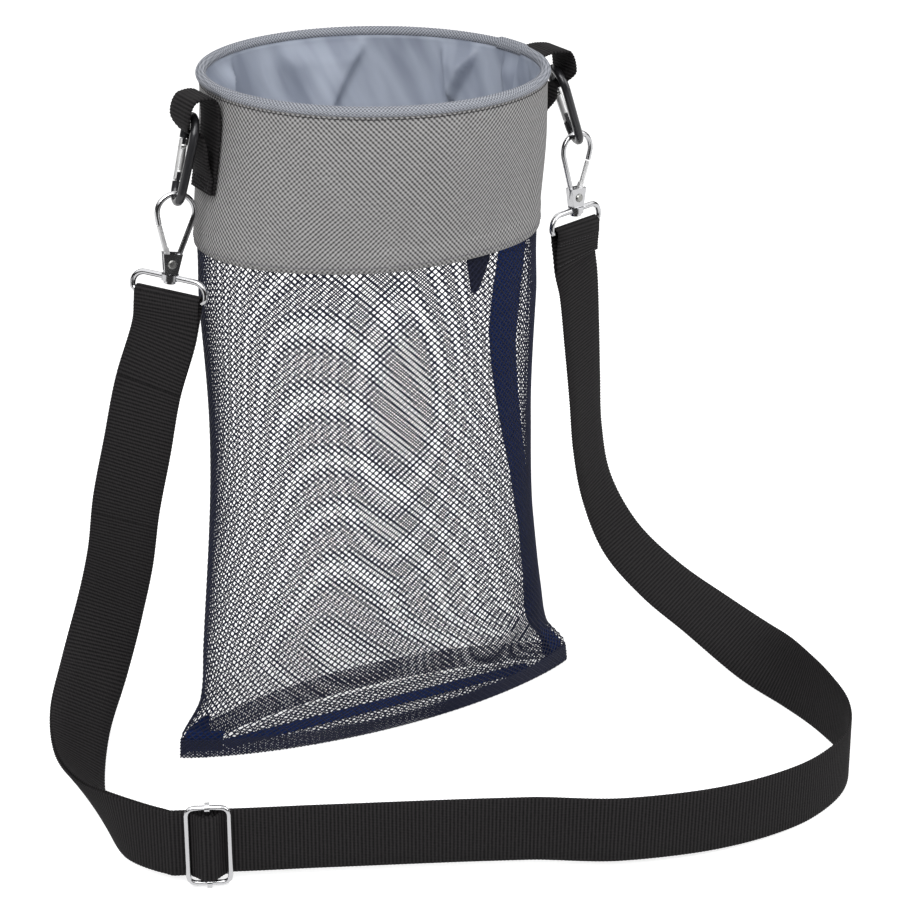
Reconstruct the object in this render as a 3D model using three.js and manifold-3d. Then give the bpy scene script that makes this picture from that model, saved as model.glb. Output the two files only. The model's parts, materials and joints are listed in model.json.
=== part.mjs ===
// Peg bag: a round-mouthed net bag with a woven collar and a clip-on shoulder strap.
// Millimetres, +Z up. X runs from the left tab to the right tab, the front faces -Y.
// The origin is the middle of the flat base, on the floor.
import * as THREE from 'three';
import { mergeVertices } from 'three/addons/utils/BufferGeometryUtils.js';
import Module from 'manifold-3d';

const wasm = await Module();
wasm.setup();

// Bag
const RIM_DIAMETER = 190;
const HEIGHT = 387;
const COLLAR_HEIGHT = 90;
const COLLAR_WALL = 1.0;
const LINING_WALL = 0.5;
const LINING_GAP = 0.4;
const NET_WALL = 0.8;
const BASE_WALL = 1.2;
const BINDING_RADIUS = 3.5;
const BINDING_WALL = 0.9;
const HOOP_RADIUS = 1.2;
const HEM_TUCK = 12;
const FIT = 0.3;
// Half length along X and half depth along Y of the bag at its main heights
const HEM_HALF = [98, 79];
const WAIST_HALF = [95, 73];
const WAIST_HEIGHT = 200;
const BELLY_HALF = [108, 55];
const BELLY_HEIGHT = 60;
const BASE_HALF = [129, 27];
const BASE_PINCH = 0.7;
const WAIST_SHIFT = -4;
const HEM_SHIFT = -4;
const EAR_SEAM = 9;
const FOOT_BAND = 10;
const NET_BAR = 4;
const NET_TOP_BAND = 7;
const NET_SAG = 1.2;
const NET_GAP = 0.34;
// Tapes
const OVERLAP_LENGTH = 22;
const OVERLAP_WALL = 0.6;
const OVERLAP_ANGLE = 6;
const SIDE_TAPE_WIDTH = 25;
const SEAM_TAPE_WIDTH = 10;
const TAPE_THICK = 0.8;
const LOOSE_END_LENGTH = 22;
const LOOSE_END_ANGLE = 26;
const LOOSE_END_SWAY = 3;
// Tabs
const TAB_WIDTH = 25;
const TAB_THICK = 1.6;
const TAB_BIGHT_WIDTH = 11;
const TAB_TAIL_DROP = 56;
const TAB_STITCH_DROP = 34;
const TAB_PIVOT_DROP = 16;
const TAB_FOLD = 1.5;
const TAB_CREST = 75;
const TAB_RETURN = -115;
const TAB_SLACK = 1;
const HANG_CLEARANCE = 2.9;
const TAB_TAPER = [20, -50];
// Carabiners
const CARABINER_LENGTH = 50;
const CARABINER_ROD = 4.8;
const CARABINER_TOP_WIDTH = 20;
const CARABINER_LOW_WIDTH = 14;
const GATE_ROD = 4.4;
const TONGUE_THICK = 1.6;
const TONGUE_LENGTH = 3.4;
const GATE_PIN_RADIUS = 0.75;
const NOSE_PIN_RADIUS = 0.6;
const NOSE_STUB = 2;
const HINGE_STUB = 3;
// Swivel snap hooks
const BOW_WIRE = 3;
const BOW_WIDTH = 23;
const BOW_NOSE_DROP = 17;
const NOSE_GAP = 0.75;
const HOOK_BASE_TOP = 32;
const HOOK_BASE_HEIGHT = 11;
const HOOK_BASE_WIDTHS = [10.4, 7];
const HOOK_BASE_THICK = 6;
const HOOK_GATE_THICK = 2.2;
const HOOK_GATE_ROD = 2.8;
const RIVET_RADIUS = 1.3;
const RIVET_HEAD_RADIUS = 2.5;
const RIVET_HEAD_HEIGHT = 1;
const RIVET_DOME = 0.75;
const STUD_RADIUS = 2;
const STUD_HEAD_RADIUS = 3.2;
const STUD_HEAD_HEIGHT = 1.4;
// Strap rings
const RING_WIRE = 3.2;
const RING_HEIGHT = 10.4;
const RING_BOSS_RADIUS = 4.6;
const RING_BOSS_HEIGHT = 3.4;
const RING_SHOULDER = 7;
const RING_CORNER = 3;
// Strap and slider
const STRAP_WIDTH = 38;
const STRAP_THICK = 1.6;
const STRAP_SIDE_PLAY = 0.75;
const SEWN_TAIL = 36;
const SLIDER_LENGTH = 24.4;
const SLIDER_WIRE = 2.8;
const SLIDER_BAR = 2.6;
const SLIDER_CORNER = 4;
const SLIDER_WRAP = 1.1;
const SLIDER_SIDE_PLAY = 1.7;
const SLIDER_SETTLE = 60;
const WRAP_FROM = 70;
const WRAP_TO = 330;
// How each side's clips hang: stand-off from the collar, then tilts and turns in degrees
const SIDES = [
  {
    name: 'left', sign: -1, standOff: 12, clipTilt: 14, clipTurn: -10, hookTilt: 8, hookTurn: -10, ringTurn: -49,
  },
  {
    name: 'right', sign: 1, standOff: 20, clipTilt: 20, clipTurn: -10, hookTilt: 0, hookTurn: 9, ringTurn: 20,
  },
];
// The strap's route from the right ring to the left one: middle of the webbing, then its upper edge's way
const STRAP_ROUTE = [
  [[132, 1, 243], [0.91, 0.39, 0.12]],
  [[137, 4, 209], [0.88, 0.44, 0.15]],
  [[141, 6, 175], [0.86, 0.5, 0.14]],
  [[145, 8, 141], [0.84, 0.53, 0.14]],
  [[152, 7, 107], [0.84, 0.53, 0.13]],
  [[163, -5, 76], [0.89, 0.41, 0.2]],
  [[178, -27, 54], [0.9, 0.32, 0.29]],
  [[193, -54, 39], [0.88, 0.25, 0.4]],
  [[206, -83, 26], [0.74, 0.15, 0.65]],
  [[212, -116, 21], [0.35, 0, 0.94]],
  [[210, -151, 20], [0.12, 0, 1]],
  [[201, -184, 20], [0, 0, 1]],
  [[180, -211, 20], [0, 0, 1]],
  [[148, -227, 20], [0, 0, 1]],
  [[115, -233, 21], [0, 0, 1]],
  [[80, -232, 22], [0, 0, 1]],
  [[46, -225, 23], [0, 0, 1]],
  [[13, -214, 24], [0, 0, 1]],
  [[-51, -186, 25], [0, 0, 1]],
  [[-113, -158, 25], [0, 0, 1]],
  [[-168, -133, 25.2], [0, 0, 1]],
  [[-184, -125.5, 25.2], [0, 0, 1]],
  [[-199, -98, 24.6], [-0.06, 0, 1]],
  [[-203, -64, 21.5], [-0.4, -0.08, 0.91]],
  [[-199, -29, 25], [-0.68, -0.04, 0.73]],
  [[-187, 0, 39], [-0.83, 0.12, 0.55]],
  [[-170, 18, 61], [-0.84, 0.36, 0.4]],
  [[-158, 21, 92], [-0.74, 0.62, 0.25]],
  [[-152, 15, 125], [-0.72, 0.65, 0.23]],
  [[-149, 9, 159], [-0.74, 0.63, 0.22]],
  [[-143, 4, 193], [-0.72, 0.66, 0.2]],
  [[-136, 2, 226], [-0.67, 0.72, 0.17]],
];
const SLIDER_POINT = 20;
// Mesh steps
const ROUND = 44;
const NET_STEPS = 4;
const LINING_STEPS = 4;
const ROD_SIDES = 10;
const PIN_SIDES = 14;
const RIBBON_STEP = 15;
const SLIDER_STEP = 2.5;
const FOLD_STEPS = 6;
const BINDING_STEPS = 6;
const COLLAR_STEPS = 4;
const BURY = 1;

const RIM_RADIUS = RIM_DIAMETER / 2 - BINDING_RADIUS;
const RIM_HEIGHT = HEIGHT - BINDING_RADIUS;
const HEM_HEIGHT = HEIGHT - COLLAR_HEIGHT;
const WALL_STACK = COLLAR_WALL + LINING_WALL + NET_WALL + 2 * FIT;
const COLLAR_TOP_RADIUS = RIM_RADIUS + WALL_STACK / 2;
const EDGE_HEIGHT = RIM_HEIGHT - HOOP_RADIUS / 2;
const DEG = Math.PI / 180;
const v3 = (x, y, z) => new THREE.Vector3(x, y, z);
const v2 = (x, y) => new THREE.Vector2(x, y);

const finish = (color, roughness, metalness) => () =>
  new THREE.MeshStandardMaterial({ color, roughness, metalness });
const wovenGrey = finish(0x8d8b8a, 0.9, 0);
const bindingGrey = finish(0x8a8a8c, 0.85, 0);
const liningBlue = finish(0x8b909d, 0.55, 0);
const netNavy = finish(0x1c2340, 0.8, 0);
const webbingBlack = finish(0x232122, 0.85, 0);
const anodisedBlack = finish(0x17171a, 0.3, 0.8);
const nickel = finish(0xc9cacc, 0.2, 1);
const springSteel = finish(0x9a9a98, 0.35, 1);

const part = new THREE.Group();

function addMesh(parent, name, geometry, material) {
  const mesh = new THREE.Mesh(geometry, material());
  mesh.name = name;
  parent.add(mesh);
  return mesh;
}

function addGroup(parent, name, position, rotation = [0, 0, 0]) {
  const group = new THREE.Group();
  group.name = name;
  group.position.set(...position);
  group.rotation.set(...rotation);
  parent.add(group);
  return group;
}

// One closed surface through rings of points; flat ends take the triangles of their own outline
function loft(rings, { loop = false, outline = null } = {}) {
  const count = rings[0].length;
  const points = rings.flat();
  const index = [];
  const spans = loop ? rings.length : rings.length - 1;
  for (let i = 0; i < spans; i += 1) {
    const low = i * count;
    const high = ((i + 1) % rings.length) * count;
    for (let j = 0; j < count; j += 1) {
      const k = (j + 1) % count;
      index.push(low + j, low + k, high + k, low + j, high + k, high + j);
    }
  }
  if (!loop) {
    const last = (rings.length - 1) * count;
    const flat = outline ?? rings[0].map((p, i) => v2(...circlePoint(i / count)));
    for (const [a, b, c] of THREE.ShapeUtils.triangulateShape(flat, [])) {
      index.push(a, c, b, last + a, last + b, last + c);
    }
  }
  return surface(points, index);
}

function surface(points, index) {
  const geometry = new THREE.BufferGeometry();
  const numbers = points.flatMap((p) => [p.x, p.y, p.z]);
  geometry.setAttribute('position', new THREE.Float32BufferAttribute(numbers, 3));
  geometry.setIndex(index);
  return outward(geometry);
}

function circlePoint(share) {
  return [Math.cos(share * 2 * Math.PI), Math.sin(share * 2 * Math.PI)];
}

// Leaves out faces that have shrunk to a line
function wholeFaces(index) {
  const kept = [];
  for (let i = 0; i < index.length; i += 3) {
    const [a, b, c] = index.slice(i, i + 3);
    if (a !== b && b !== c && a !== c) kept.push(a, b, c);
  }
  return kept;
}

// Turns the faces round where they look into the body
function outward(geometry) {
  const p = geometry.attributes.position;
  const index = wholeFaces([...geometry.index.array]);
  geometry.setIndex(index);
  const corner = (i) => v3().fromBufferAttribute(p, index[i]);
  let volume = 0;
  for (let i = 0; i < index.length; i += 3) {
    volume += corner(i).dot(corner(i + 1).cross(corner(i + 2)));
  }
  if (volume < 0) {
    for (let i = 0; i < index.length; i += 3) [index[i], index[i + 1]] = [index[i + 1], index[i]];
    geometry.setIndex(index);
  }
  geometry.computeVertexNormals();
  return geometry;
}

// A round rod along a path of points that lie in one plane
function rod(points, radius, planeNormal, { loop = false, sides = ROD_SIDES } = {}) {
  const last = points.length - 1;
  const rings = points.map((p, i) => {
    const before = points[loop ? (i + last) % (last + 1) : Math.max(i - 1, 0)];
    const after = points[loop ? (i + 1) % (last + 1) : Math.min(i + 1, last)];
    const side = v3().crossVectors(after.clone().sub(before).normalize(), planeNormal);
    return Array.from({ length: sides }, (_, j) => {
      const [c, s] = circlePoint(j / sides);
      return p.clone().addScaledVector(side, radius * c).addScaledVector(planeNormal, radius * s);
    });
  });
  return loft(rings, { loop });
}

// A flat band through stations of middle point, width direction and width; layers that run back
// along a route take the other diagonal, so that the faces of neighbouring layers stay parallel
function ribbon(stations, thick) {
  const last = stations.length - 1;
  const rings = stations.map(({ at, across, width }, i) => {
    const along = stations[Math.min(i + 1, last)].at.clone().sub(stations[Math.max(i - 1, 0)].at);
    const face = v3().crossVectors(along, across).normalize();
    const edge = v3().crossVectors(face, along).normalize();
    return [[1, 1], [-1, 1], [-1, -1], [1, -1]].map(([w, t]) =>
      at.clone().addScaledVector(edge, (w * width) / 2).addScaledVector(face, (t * thick) / 2));
  });
  const index = [];
  const quad = (a, b, c, d, turned) => index.push(...(turned ? [a, b, d, b, c, d] : [a, b, c, a, c, d]));
  for (let i = 0; i < last; i += 1) {
    const [a, b, c, d, e, f, g, h] = Array.from({ length: 8 }, (_, j) => 4 * i + j);
    const back = Boolean(stations[i].back);
    quad(a, b, f, e, back);
    quad(c, d, h, g, !back);
    quad(b, c, g, f, false);
    quad(d, a, e, h, false);
  }
  const end = 4 * last;
  quad(3, 2, 1, 0, false);
  quad(end, end + 1, end + 2, end + 3, false);
  return surface(rings.flat(), index);
}

function toManifold(geometry) {
  const bare = geometry.clone();
  bare.deleteAttribute('normal');
  if (bare.getAttribute('uv')) bare.deleteAttribute('uv');
  const merged = mergeVertices(bare, 1e-4);
  return new wasm.Manifold(new wasm.Mesh({
    numProp: 3,
    vertProperties: Float32Array.from(merged.attributes.position.array),
    triVerts: Uint32Array.from(merged.index.array),
  }));
}

function fromManifold(manifold) {
  const mesh = manifold.getMesh();
  const geometry = new THREE.BufferGeometry();
  geometry.setAttribute('position', new THREE.Float32BufferAttribute(mesh.vertProperties, 3));
  geometry.setIndex([...mesh.triVerts]);
  geometry.computeVertexNormals();
  return geometry;
}

// Joins the first list of shapes and takes the second list away
function carve(added, removed = []) {
  let body = toManifold(added[0]);
  for (const shape of added.slice(1)) body = body.add(toManifold(shape));
  for (const shape of removed) body = body.subtract(toManifold(shape));
  return fromManifold(body);
}

function cylinder(radius, height, axis, at) {
  const geometry = new THREE.CylinderGeometry(radius, radius, height, PIN_SIDES);
  if (axis === 'x') geometry.rotateZ(Math.PI / 2);
  if (axis === 'z') geometry.rotateX(Math.PI / 2);
  return geometry.translate(...at);
}

function box(size, at) {
  return new THREE.BoxGeometry(...size).translate(...at);
}

// Points along an arc in the plane of two unit vectors
function arc(centre, radius, from, to, steps, right, up) {
  return Array.from({ length: steps + 1 }, (_, i) => {
    const angle = (from + ((to - from) * i) / steps) * DEG;
    return centre.clone()
      .addScaledVector(right, radius * Math.cos(angle))
      .addScaledVector(up, radius * Math.sin(angle));
  });
}

// Bag outline: half length, half depth, pinch and sideways shift at a height, inset by a wall
const HEIGHTS = [0, BELLY_HEIGHT, WAIST_HEIGHT, HEM_HEIGHT, RIM_HEIGHT];
const LENGTHS = [BASE_HALF[0], BELLY_HALF[0], WAIST_HALF[0], HEM_HALF[0], COLLAR_TOP_RADIUS];
const DEPTHS = [BASE_HALF[1], BELLY_HALF[1], WAIST_HALF[1], HEM_HALF[1], COLLAR_TOP_RADIUS];
const PINCHES = [BASE_PINCH, 0, 0, 0, 0];
const SHIFTS = [0, WAIST_SHIFT / 2, WAIST_SHIFT, HEM_SHIFT, 0];

// Cubic through the main heights with slopes that never overshoot
function smooth(values, z) {
  const last = HEIGHTS.length - 1;
  const slope = (i) => (values[i + 1] - values[i]) / (HEIGHTS[i + 1] - HEIGHTS[i]);
  const tangent = (i) => {
    if (i === 0) return slope(0);
    if (i === last) return 0;
    const [a, b] = [slope(i - 1), slope(i)];
    return a * b > 0 ? (2 * a * b) / (a + b) : 0;
  };
  let i = 0;
  while (i < last - 1 && z > HEIGHTS[i + 1]) i += 1;
  const span = HEIGHTS[i + 1] - HEIGHTS[i];
  const t = Math.min(Math.max((z - HEIGHTS[i]) / span, 0), 1);
  const [t2, t3] = [t * t, t * t * t];
  return values[i] * (2 * t3 - 3 * t2 + 1) + tangent(i) * span * (t3 - 2 * t2 + t)
    + values[i + 1] * (3 * t2 - 2 * t3) + tangent(i + 1) * span * (t3 - t2);
}

function bagPoint(share, z, inset, earInset = inset) {
  const [c, s] = circlePoint(share);
  const length = smooth(LENGTHS, z) - earInset;
  const depth = smooth(DEPTHS, z) - inset;
  const pinch = Math.max(smooth(PINCHES, z), 0);
  return v3(smooth(SHIFTS, z) + length * c, depth * s * Math.abs(s) ** pinch, z);
}

function bagRing(z, inset, earInset) {
  return Array.from({ length: ROUND }, (_, j) => bagPoint(j / ROUND, z, inset, earInset));
}

function levels(low, high, steps) {
  return Array.from({ length: steps + 1 }, (_, i) => low + ((high - low) * i) / steps);
}

// A wall between an outer and an inner surface, open at both ends
function sleeve(low, high, steps, outerInset, wall) {
  const heights = levels(low, high, steps);
  const outer = heights.map((z) => bagRing(z, outerInset));
  const inner = heights.reverse().map((z) => bagRing(z, outerInset + wall));
  return loft([...outer, ...inner], { loop: true });
}

// Collar, lining and the bound rim with its hoop
addMesh(part, 'collar_panel', sleeve(HEM_HEIGHT, EDGE_HEIGHT, COLLAR_STEPS, 0, COLLAR_WALL), wovenGrey);
addMesh(part, 'collar_lining', sleeve(HEM_HEIGHT + FIT, EDGE_HEIGHT, LINING_STEPS,
  COLLAR_WALL + NET_WALL + LINING_GAP + FIT, LINING_WALL), liningBlue);

const hoopHeight = RIM_HEIGHT + BINDING_RADIUS - BINDING_WALL - FIT - HOOP_RADIUS;
const hoop = new THREE.TorusGeometry(RIM_RADIUS, HOOP_RADIUS, FOLD_STEPS, ROUND).translate(0, 0, hoopHeight);
addMesh(part, 'rim_hoop', hoop, springSteel);

// Tape section: a ring that is open below for the edges of the collar and its lining
function bindingSection(outerRadius, wall) {
  const right = v3(1, 0, 0);
  const up = v3(0, 1, 0);
  const mouth = Math.asin((WALL_STACK / 2 + FIT) / (outerRadius - wall)) / DEG;
  const steps = BINDING_STEPS;
  const outer = arc(v3(), outerRadius, -90 + mouth, 270 - mouth, steps, right, up);
  const inner = arc(v3(), outerRadius - wall, 270 - mouth, -90 + mouth, steps, right, up);
  return [...outer, ...inner].map((p) => v2(p.x, p.y));
}

function bindingRings(section, from, to, steps) {
  return levels(from, to, steps).map((angle) => section.map((q) => {
    const radius = RIM_RADIUS + q.x;
    return v3(radius * Math.cos(angle * DEG), radius * Math.sin(angle * DEG), RIM_HEIGHT + q.y);
  }));
}

const tapeSection = bindingSection(BINDING_RADIUS, BINDING_WALL);
const tapeTurns = bindingRings(tapeSection, 0, 360, ROUND).slice(0, ROUND);
addMesh(part, 'rim_binding', loft(tapeTurns, { loop: true }), bindingGrey);

const sleeveSection = bindingSection(BINDING_RADIUS + 2 * FIT + OVERLAP_WALL, OVERLAP_WALL);
const sleeveHalf = OVERLAP_LENGTH / 2 / RIM_RADIUS / DEG;
const [sleeveFrom, sleeveTo] = [OVERLAP_ANGLE - sleeveHalf, OVERLAP_ANGLE + sleeveHalf];
const sleeveTurns = bindingRings(sleeveSection, sleeveFrom, sleeveTo, FOLD_STEPS);
addMesh(part, 'binding_overlap', loft(sleeveTurns, { outline: sleeveSection }), bindingGrey);

// Net body: a plain grid of openings stands for the fine net, with whole bands at the foot and the hem
function earInset(z) {
  const rise = Math.min(z / BELLY_HEIGHT, 1);
  return NET_WALL + (EAR_SEAM - NET_WALL) * (1 - rise) ** 2;
}

function bodyLevels() {
  return levels(BELLY_HEIGHT, HEM_HEIGHT, NET_STEPS);
}

// Upright bars take every second column, as wide below the hem as the net's bars are
const barShare = NET_BAR / (2 * Math.PI * Math.hypot(...WAIST_HALF) / Math.SQRT2);
function netShare(column, z) {
  if (z >= HEM_HEIGHT) return column / ROUND;
  const edge = column % 2 === 0 ? -barShare / 2 : barShare / 2;
  return 2 * Math.floor(column / 2) / ROUND + edge;
}

function netRing(z, inset, endInset) {
  return Array.from({ length: ROUND }, (_, j) => bagPoint(netShare(j, z), z, inset, endInset));
}

function netBody() {
  const inset = COLLAR_WALL + NET_GAP;
  const half = NET_BAR / 2;
  const bars = bodyLevels().slice(0, -1).flatMap((z) => [z - half, z + half]);
  const heights = [0, FOOT_BAND, ...bars, HEM_HEIGHT - NET_TOP_BAND, HEM_HEIGHT, HEM_HEIGHT + HEM_TUCK];
  const openRows = bars.length + 1;
  const outset = (z) => inset * THREE.MathUtils.smoothstep(z, 0, BELLY_HEIGHT);
  const outer = heights.map((z) => netRing(z, outset(z)));
  const inner = [BASE_WALL, ...heights.slice(1)]
    .map((z) => netRing(z, outset(z) + NET_WALL, outset(z) + earInset(z)));
  const points = [...outer, ...inner].flat();
  const index = [];
  const quad = (a, b, c, d) => index.push(a, b, c, a, c, d);
  const byEar = (column) => Math.min(column % (ROUND / 2), ROUND / 2 - (column % (ROUND / 2))) <= 2;
  const open = (row, column) => row > heights.length - 2
    || (row % 2 === 1 && row <= openRows && column % 2 === 1 && !(row === 1 && byEar(column)));
  const behind = (corner) => corner + outer.length * ROUND;
  for (let i = 0; i < heights.length - 1; i += 1) {
    for (let j = 0; j < ROUND; j += 1) {
      if (open(i, j)) continue;
      const [left, right] = [(j + ROUND - 1) % ROUND, (j + 1) % ROUND];
      const [a, b, c, d] = [[i, j], [i, right], [i + 1, right], [i + 1, j]].map(([r, k]) => r * ROUND + k);
      quad(a, b, c, d);
      quad(...[a, d, c, b].map(behind));
      const edges = [[a, b, i > 0 && open(i - 1, j)], [b, c, open(i, right)],
        [c, d, open(i + 1, j)], [d, a, open(i, left)]];
      for (const [p, q, bare] of edges) if (bare) quad(q, p, behind(p), behind(q));
    }
  }
  const under = points.push(v3(0, 0, 0)) - 1;
  const floor = points.push(v3(0, 0, BASE_WALL)) - 1;
  for (let j = 0; j < ROUND; j += 1) {
    const k = (j + 1) % ROUND;
    index.push(under, k, j, floor, behind(j), behind(k));
  }
  return surface(points, index);
}
addMesh(part, 'mesh_body', netBody(), netNavy);

// Tapes inside the net: over the side seam, its loose end, and over the bottom seam
const netInset = COLLAR_WALL + NET_WALL + NET_SAG + 3 * FIT;

function sideTape() {
  const columns = 6;
  const rings = [...bodyLevels().slice(0, -1), HEM_HEIGHT - FIT].map((z) => {
    const girth = smooth(DEPTHS, z) - netInset;
    const half = Math.asin(SIDE_TAPE_WIDTH / 2 / girth) / (2 * Math.PI);
    const shares = levels(-half, half, columns);
    return [...shares.map((s) => bagPoint(s, z, netInset)),
      ...shares.reverse().map((s) => bagPoint(s, z, netInset + TAPE_THICK))];
  });
  const outline = rings[0].map((p) => v2(p.x, p.y));
  return loft(rings, { outline });
}
addMesh(part, 'side_seam_tape', sideTape(), netNavy);

function looseEnd() {
  const inset = COLLAR_WALL + NET_WALL + LINING_WALL + 4 * FIT + TAPE_THICK / 2;
  const share = LOOSE_END_ANGLE / 360;
  const topHeight = HEM_HEIGHT + SEAM_TAPE_WIDTH / 2;
  const top = bagPoint(share, topHeight, inset);
  const beside = bagPoint(share - 1 / ROUND, topHeight, inset);
  const across = bagPoint(share + 1 / ROUND, topHeight, inset).sub(beside).normalize();
  const inwardWay = v3(0, 0, 1).cross(across);
  const stations = levels(0, 1, FOLD_STEPS).map((t) => ({
    at: top.clone().addScaledVector(inwardWay, LOOSE_END_SWAY * t * t).add(v3(0, 0, -LOOSE_END_LENGTH * t)),
    across,
    width: SEAM_TAPE_WIDTH,
  }));
  return ribbon(stations, TAPE_THICK);
}
addMesh(part, 'loose_tape_end', looseEnd(), netNavy);

const bottomTapeHalf = BASE_HALF[0] - 2 * EAR_SEAM - SEAM_TAPE_WIDTH;
addMesh(part, 'bottom_seam_tape', box([2 * bottomTapeHalf, SEAM_TAPE_WIDTH, TAPE_THICK],
  [0, 0, BASE_WALL + FIT + TAPE_THICK / 2]), netNavy);

// Webbing tab: up the collar, out over the clip's rod and back down to a doubled tail
const pivotHeight = HEIGHT - TAB_PIVOT_DROP;
const hemReach = (side) => HEM_HALF[0] + side.sign * HEM_SHIFT;
const pivotReach = (side) => Math.max(COLLAR_TOP_RADIUS + side.standOff, hemReach(side) + HANG_CLEARANCE);
const clipTurnMost = Math.max(...SIDES.map((side) => Math.abs(side.clipTurn)));
const topBend = CARABINER_TOP_WIDTH / 2;
const rodRadius = CARABINER_ROD / 2;
const bightHalf = TAB_BIGHT_WIDTH / 2;
const rodSink = topBend - Math.sqrt((topBend - rodRadius) ** 2 - bightHalf ** 2);
const bightRadius = Math.hypot(rodSink, bightHalf * Math.sin(clipTurnMost * DEG)) + FIT;

function tabWebbing(side) {
  const collarFace = (z) => smooth(LENGTHS, z) + side.sign * smooth(SHIFTS, z) + FIT + TAB_THICK / 2;
  const layer = TAB_THICK + FIT;
  const path = [];
  const tailLow = HEIGHT - TAB_TAIL_DROP;
  const tailHigh = HEIGHT - TAB_STITCH_DROP;
  const topHeight = RIM_HEIGHT - BINDING_RADIUS - TAB_THICK - 2 * FIT;
  const bend = TAB_THICK * TAB_FOLD;
  for (const z of levels(tailLow, topHeight - bend, FOLD_STEPS)) path.push([collarFace(z), z, 1]);
  const [wide, narrow] = [1, TAB_BIGHT_WIDTH / TAB_WIDTH];
  const corner = [collarFace(topHeight) + bend, topHeight - bend, 0];
  const [right, up] = [v3(1, 0, 0), v3(0, 1, 0)];
  const crest = arc(v3(...corner), bend, TAB_CREST + 90, TAB_CREST, FOLD_STEPS / 2, right, up);
  for (const p of crest) path.push([p.x, p.y, wide]);
  const loopRadius = bightRadius + TAB_THICK / 2 + TAB_SLACK;
  for (const a of levels(TAB_CREST, TAB_RETURN, FOLD_STEPS * 2)) {
    const [c, s] = [Math.cos(a * DEG), Math.sin(a * DEG)];
    const spread = THREE.MathUtils.smoothstep(a, TAB_TAPER[1], TAB_TAPER[0]);
    const share = narrow + (wide - narrow) * spread;
    path.push([pivotReach(side) + loopRadius * c, pivotHeight + loopRadius * s, share]);
  }
  const back = path[path.length - 1];
  const joinX = collarFace(tailHigh) + layer;
  for (const t of levels(0, 1, FOLD_STEPS).slice(1)) {
    const [x, z] = [back[0] + (joinX - back[0]) * t, back[1] + (tailHigh - back[1]) * t];
    path.push([x, z, narrow + (wide - narrow) * t]);
  }
  for (const z of levels(tailHigh, tailLow, FOLD_STEPS).slice(1)) path.push([collarFace(z) + layer, z, wide]);
  const across = v3(0, 1, 0);
  const stations = path.map(([x, z, share]) => (
    { at: v3(side.sign * x, 0, z), across, width: TAB_WIDTH * share }));
  return ribbon(stations, TAB_THICK);
}

// Carabiner in its own frame: rod's top at the origin, gate on +Y, plane across X
const lowBend = CARABINER_LOW_WIDTH / 2;
const clipReach = CARABINER_LENGTH - CARABINER_ROD;
const clipLean = Math.asin((topBend - lowBend) / (clipReach - topBend - lowBend));
const gateWay = v3(0, Math.sin(clipLean), Math.cos(clipLean));
const gateSide = v3(0, Math.cos(clipLean), -Math.sin(clipLean));
const topCentre = v3(0, 0, -topBend);
const lowCentre = v3(0, 0, lowBend - clipReach);
const gateLow = lowCentre.clone().addScaledVector(gateSide, lowBend);
const gateHigh = topCentre.clone().addScaledVector(gateSide, topBend);
const hingeShoulder = gateLow.clone().addScaledVector(gateWay, HINGE_STUB);
const noseShoulder = gateHigh.clone().addScaledVector(gateWay, -NOSE_STUB);
const gateRadius = GATE_ROD / 2;
const hingePoint = hingeShoulder.clone().addScaledVector(gateWay, gateRadius + 2 * FIT);
const gateLength = noseShoulder.clone().sub(hingePoint).dot(gateWay) - 2 * FIT;
const noseDepth = TONGUE_LENGTH + 2 * FIT + NOSE_PIN_RADIUS * 2;
const nosePinReach = gateLength - noseDepth + NOSE_PIN_RADIUS + FIT;

// A shape made along +Z from the hinge, laid along the gate
function alongGate(geometry, at) {
  return geometry.rotateX(-clipLean).translate(at.x, at.y, at.z);
}

function carabinerBody() {
  const [y, z] = [v3(0, 1, 0), v3(0, 0, 1)];
  const leanDeg = clipLean / DEG;
  const spine = arc(topCentre, topBend, -leanDeg, 180 + leanDeg, FOLD_STEPS * 2, y, z);
  const foot = arc(lowCentre, lowBend, 180 + leanDeg, 360 - leanDeg, FOLD_STEPS * 2, y, z);
  const bar = rod([noseShoulder, ...spine, ...foot, hingeShoulder], rodRadius, v3(1, 0, 0));
  const tongueWidth = GATE_ROD - 2 * FIT;
  const hingeTongue = gateRadius * 2 + 2 * FIT;
  const tongue = (length, middle) => box([TONGUE_THICK, tongueWidth, length + BURY], [0, 0, middle]);
  const hinge = alongGate(tongue(hingeTongue, (hingeTongue - BURY) / 2), hingeShoulder);
  const nose = alongGate(tongue(TONGUE_LENGTH, (BURY - TONGUE_LENGTH) / 2), noseShoulder);
  const hole = cylinder(GATE_PIN_RADIUS + FIT / 2, GATE_ROD, 'x', hingePoint.toArray());
  return carve([bar, hinge, nose], [hole]);
}

function carabinerGate() {
  const slot = TONGUE_THICK + 2 * FIT;
  const end = cylinder(gateRadius, GATE_ROD, 'x', [0, 0, 0]);
  const shaft = cylinder(gateRadius, gateLength, 'z', [0, 0, gateLength / 2]);
  const clear = GATE_ROD * 2;
  const hingeDepth = Math.hypot(gateRadius, gateRadius - FIT) + FIT;
  const hingeSlot = box([slot, clear, hingeDepth + clear], [0, 0, (hingeDepth - clear) / 2]);
  const noseSlot = box([slot, clear, noseDepth + clear], [0, 0, gateLength + (clear - noseDepth) / 2]);
  const pinHole = cylinder(GATE_PIN_RADIUS + FIT / 2, clear, 'x', [0, 0, 0]);
  const noseHole = cylinder(NOSE_PIN_RADIUS + FIT / 2, clear, 'x', [0, 0, nosePinReach]);
  const round = cylinder(gateRadius, GATE_ROD + gateLength, 'z', [0, 0, gateLength / 2]);
  const ends = carve([end, shaft]);
  const trimmed = fromManifold(toManifold(ends).intersect(toManifold(round)));
  return alongGate(carve([trimmed], [hingeSlot, noseSlot, pinHole, noseHole]), hingePoint);
}

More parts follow.
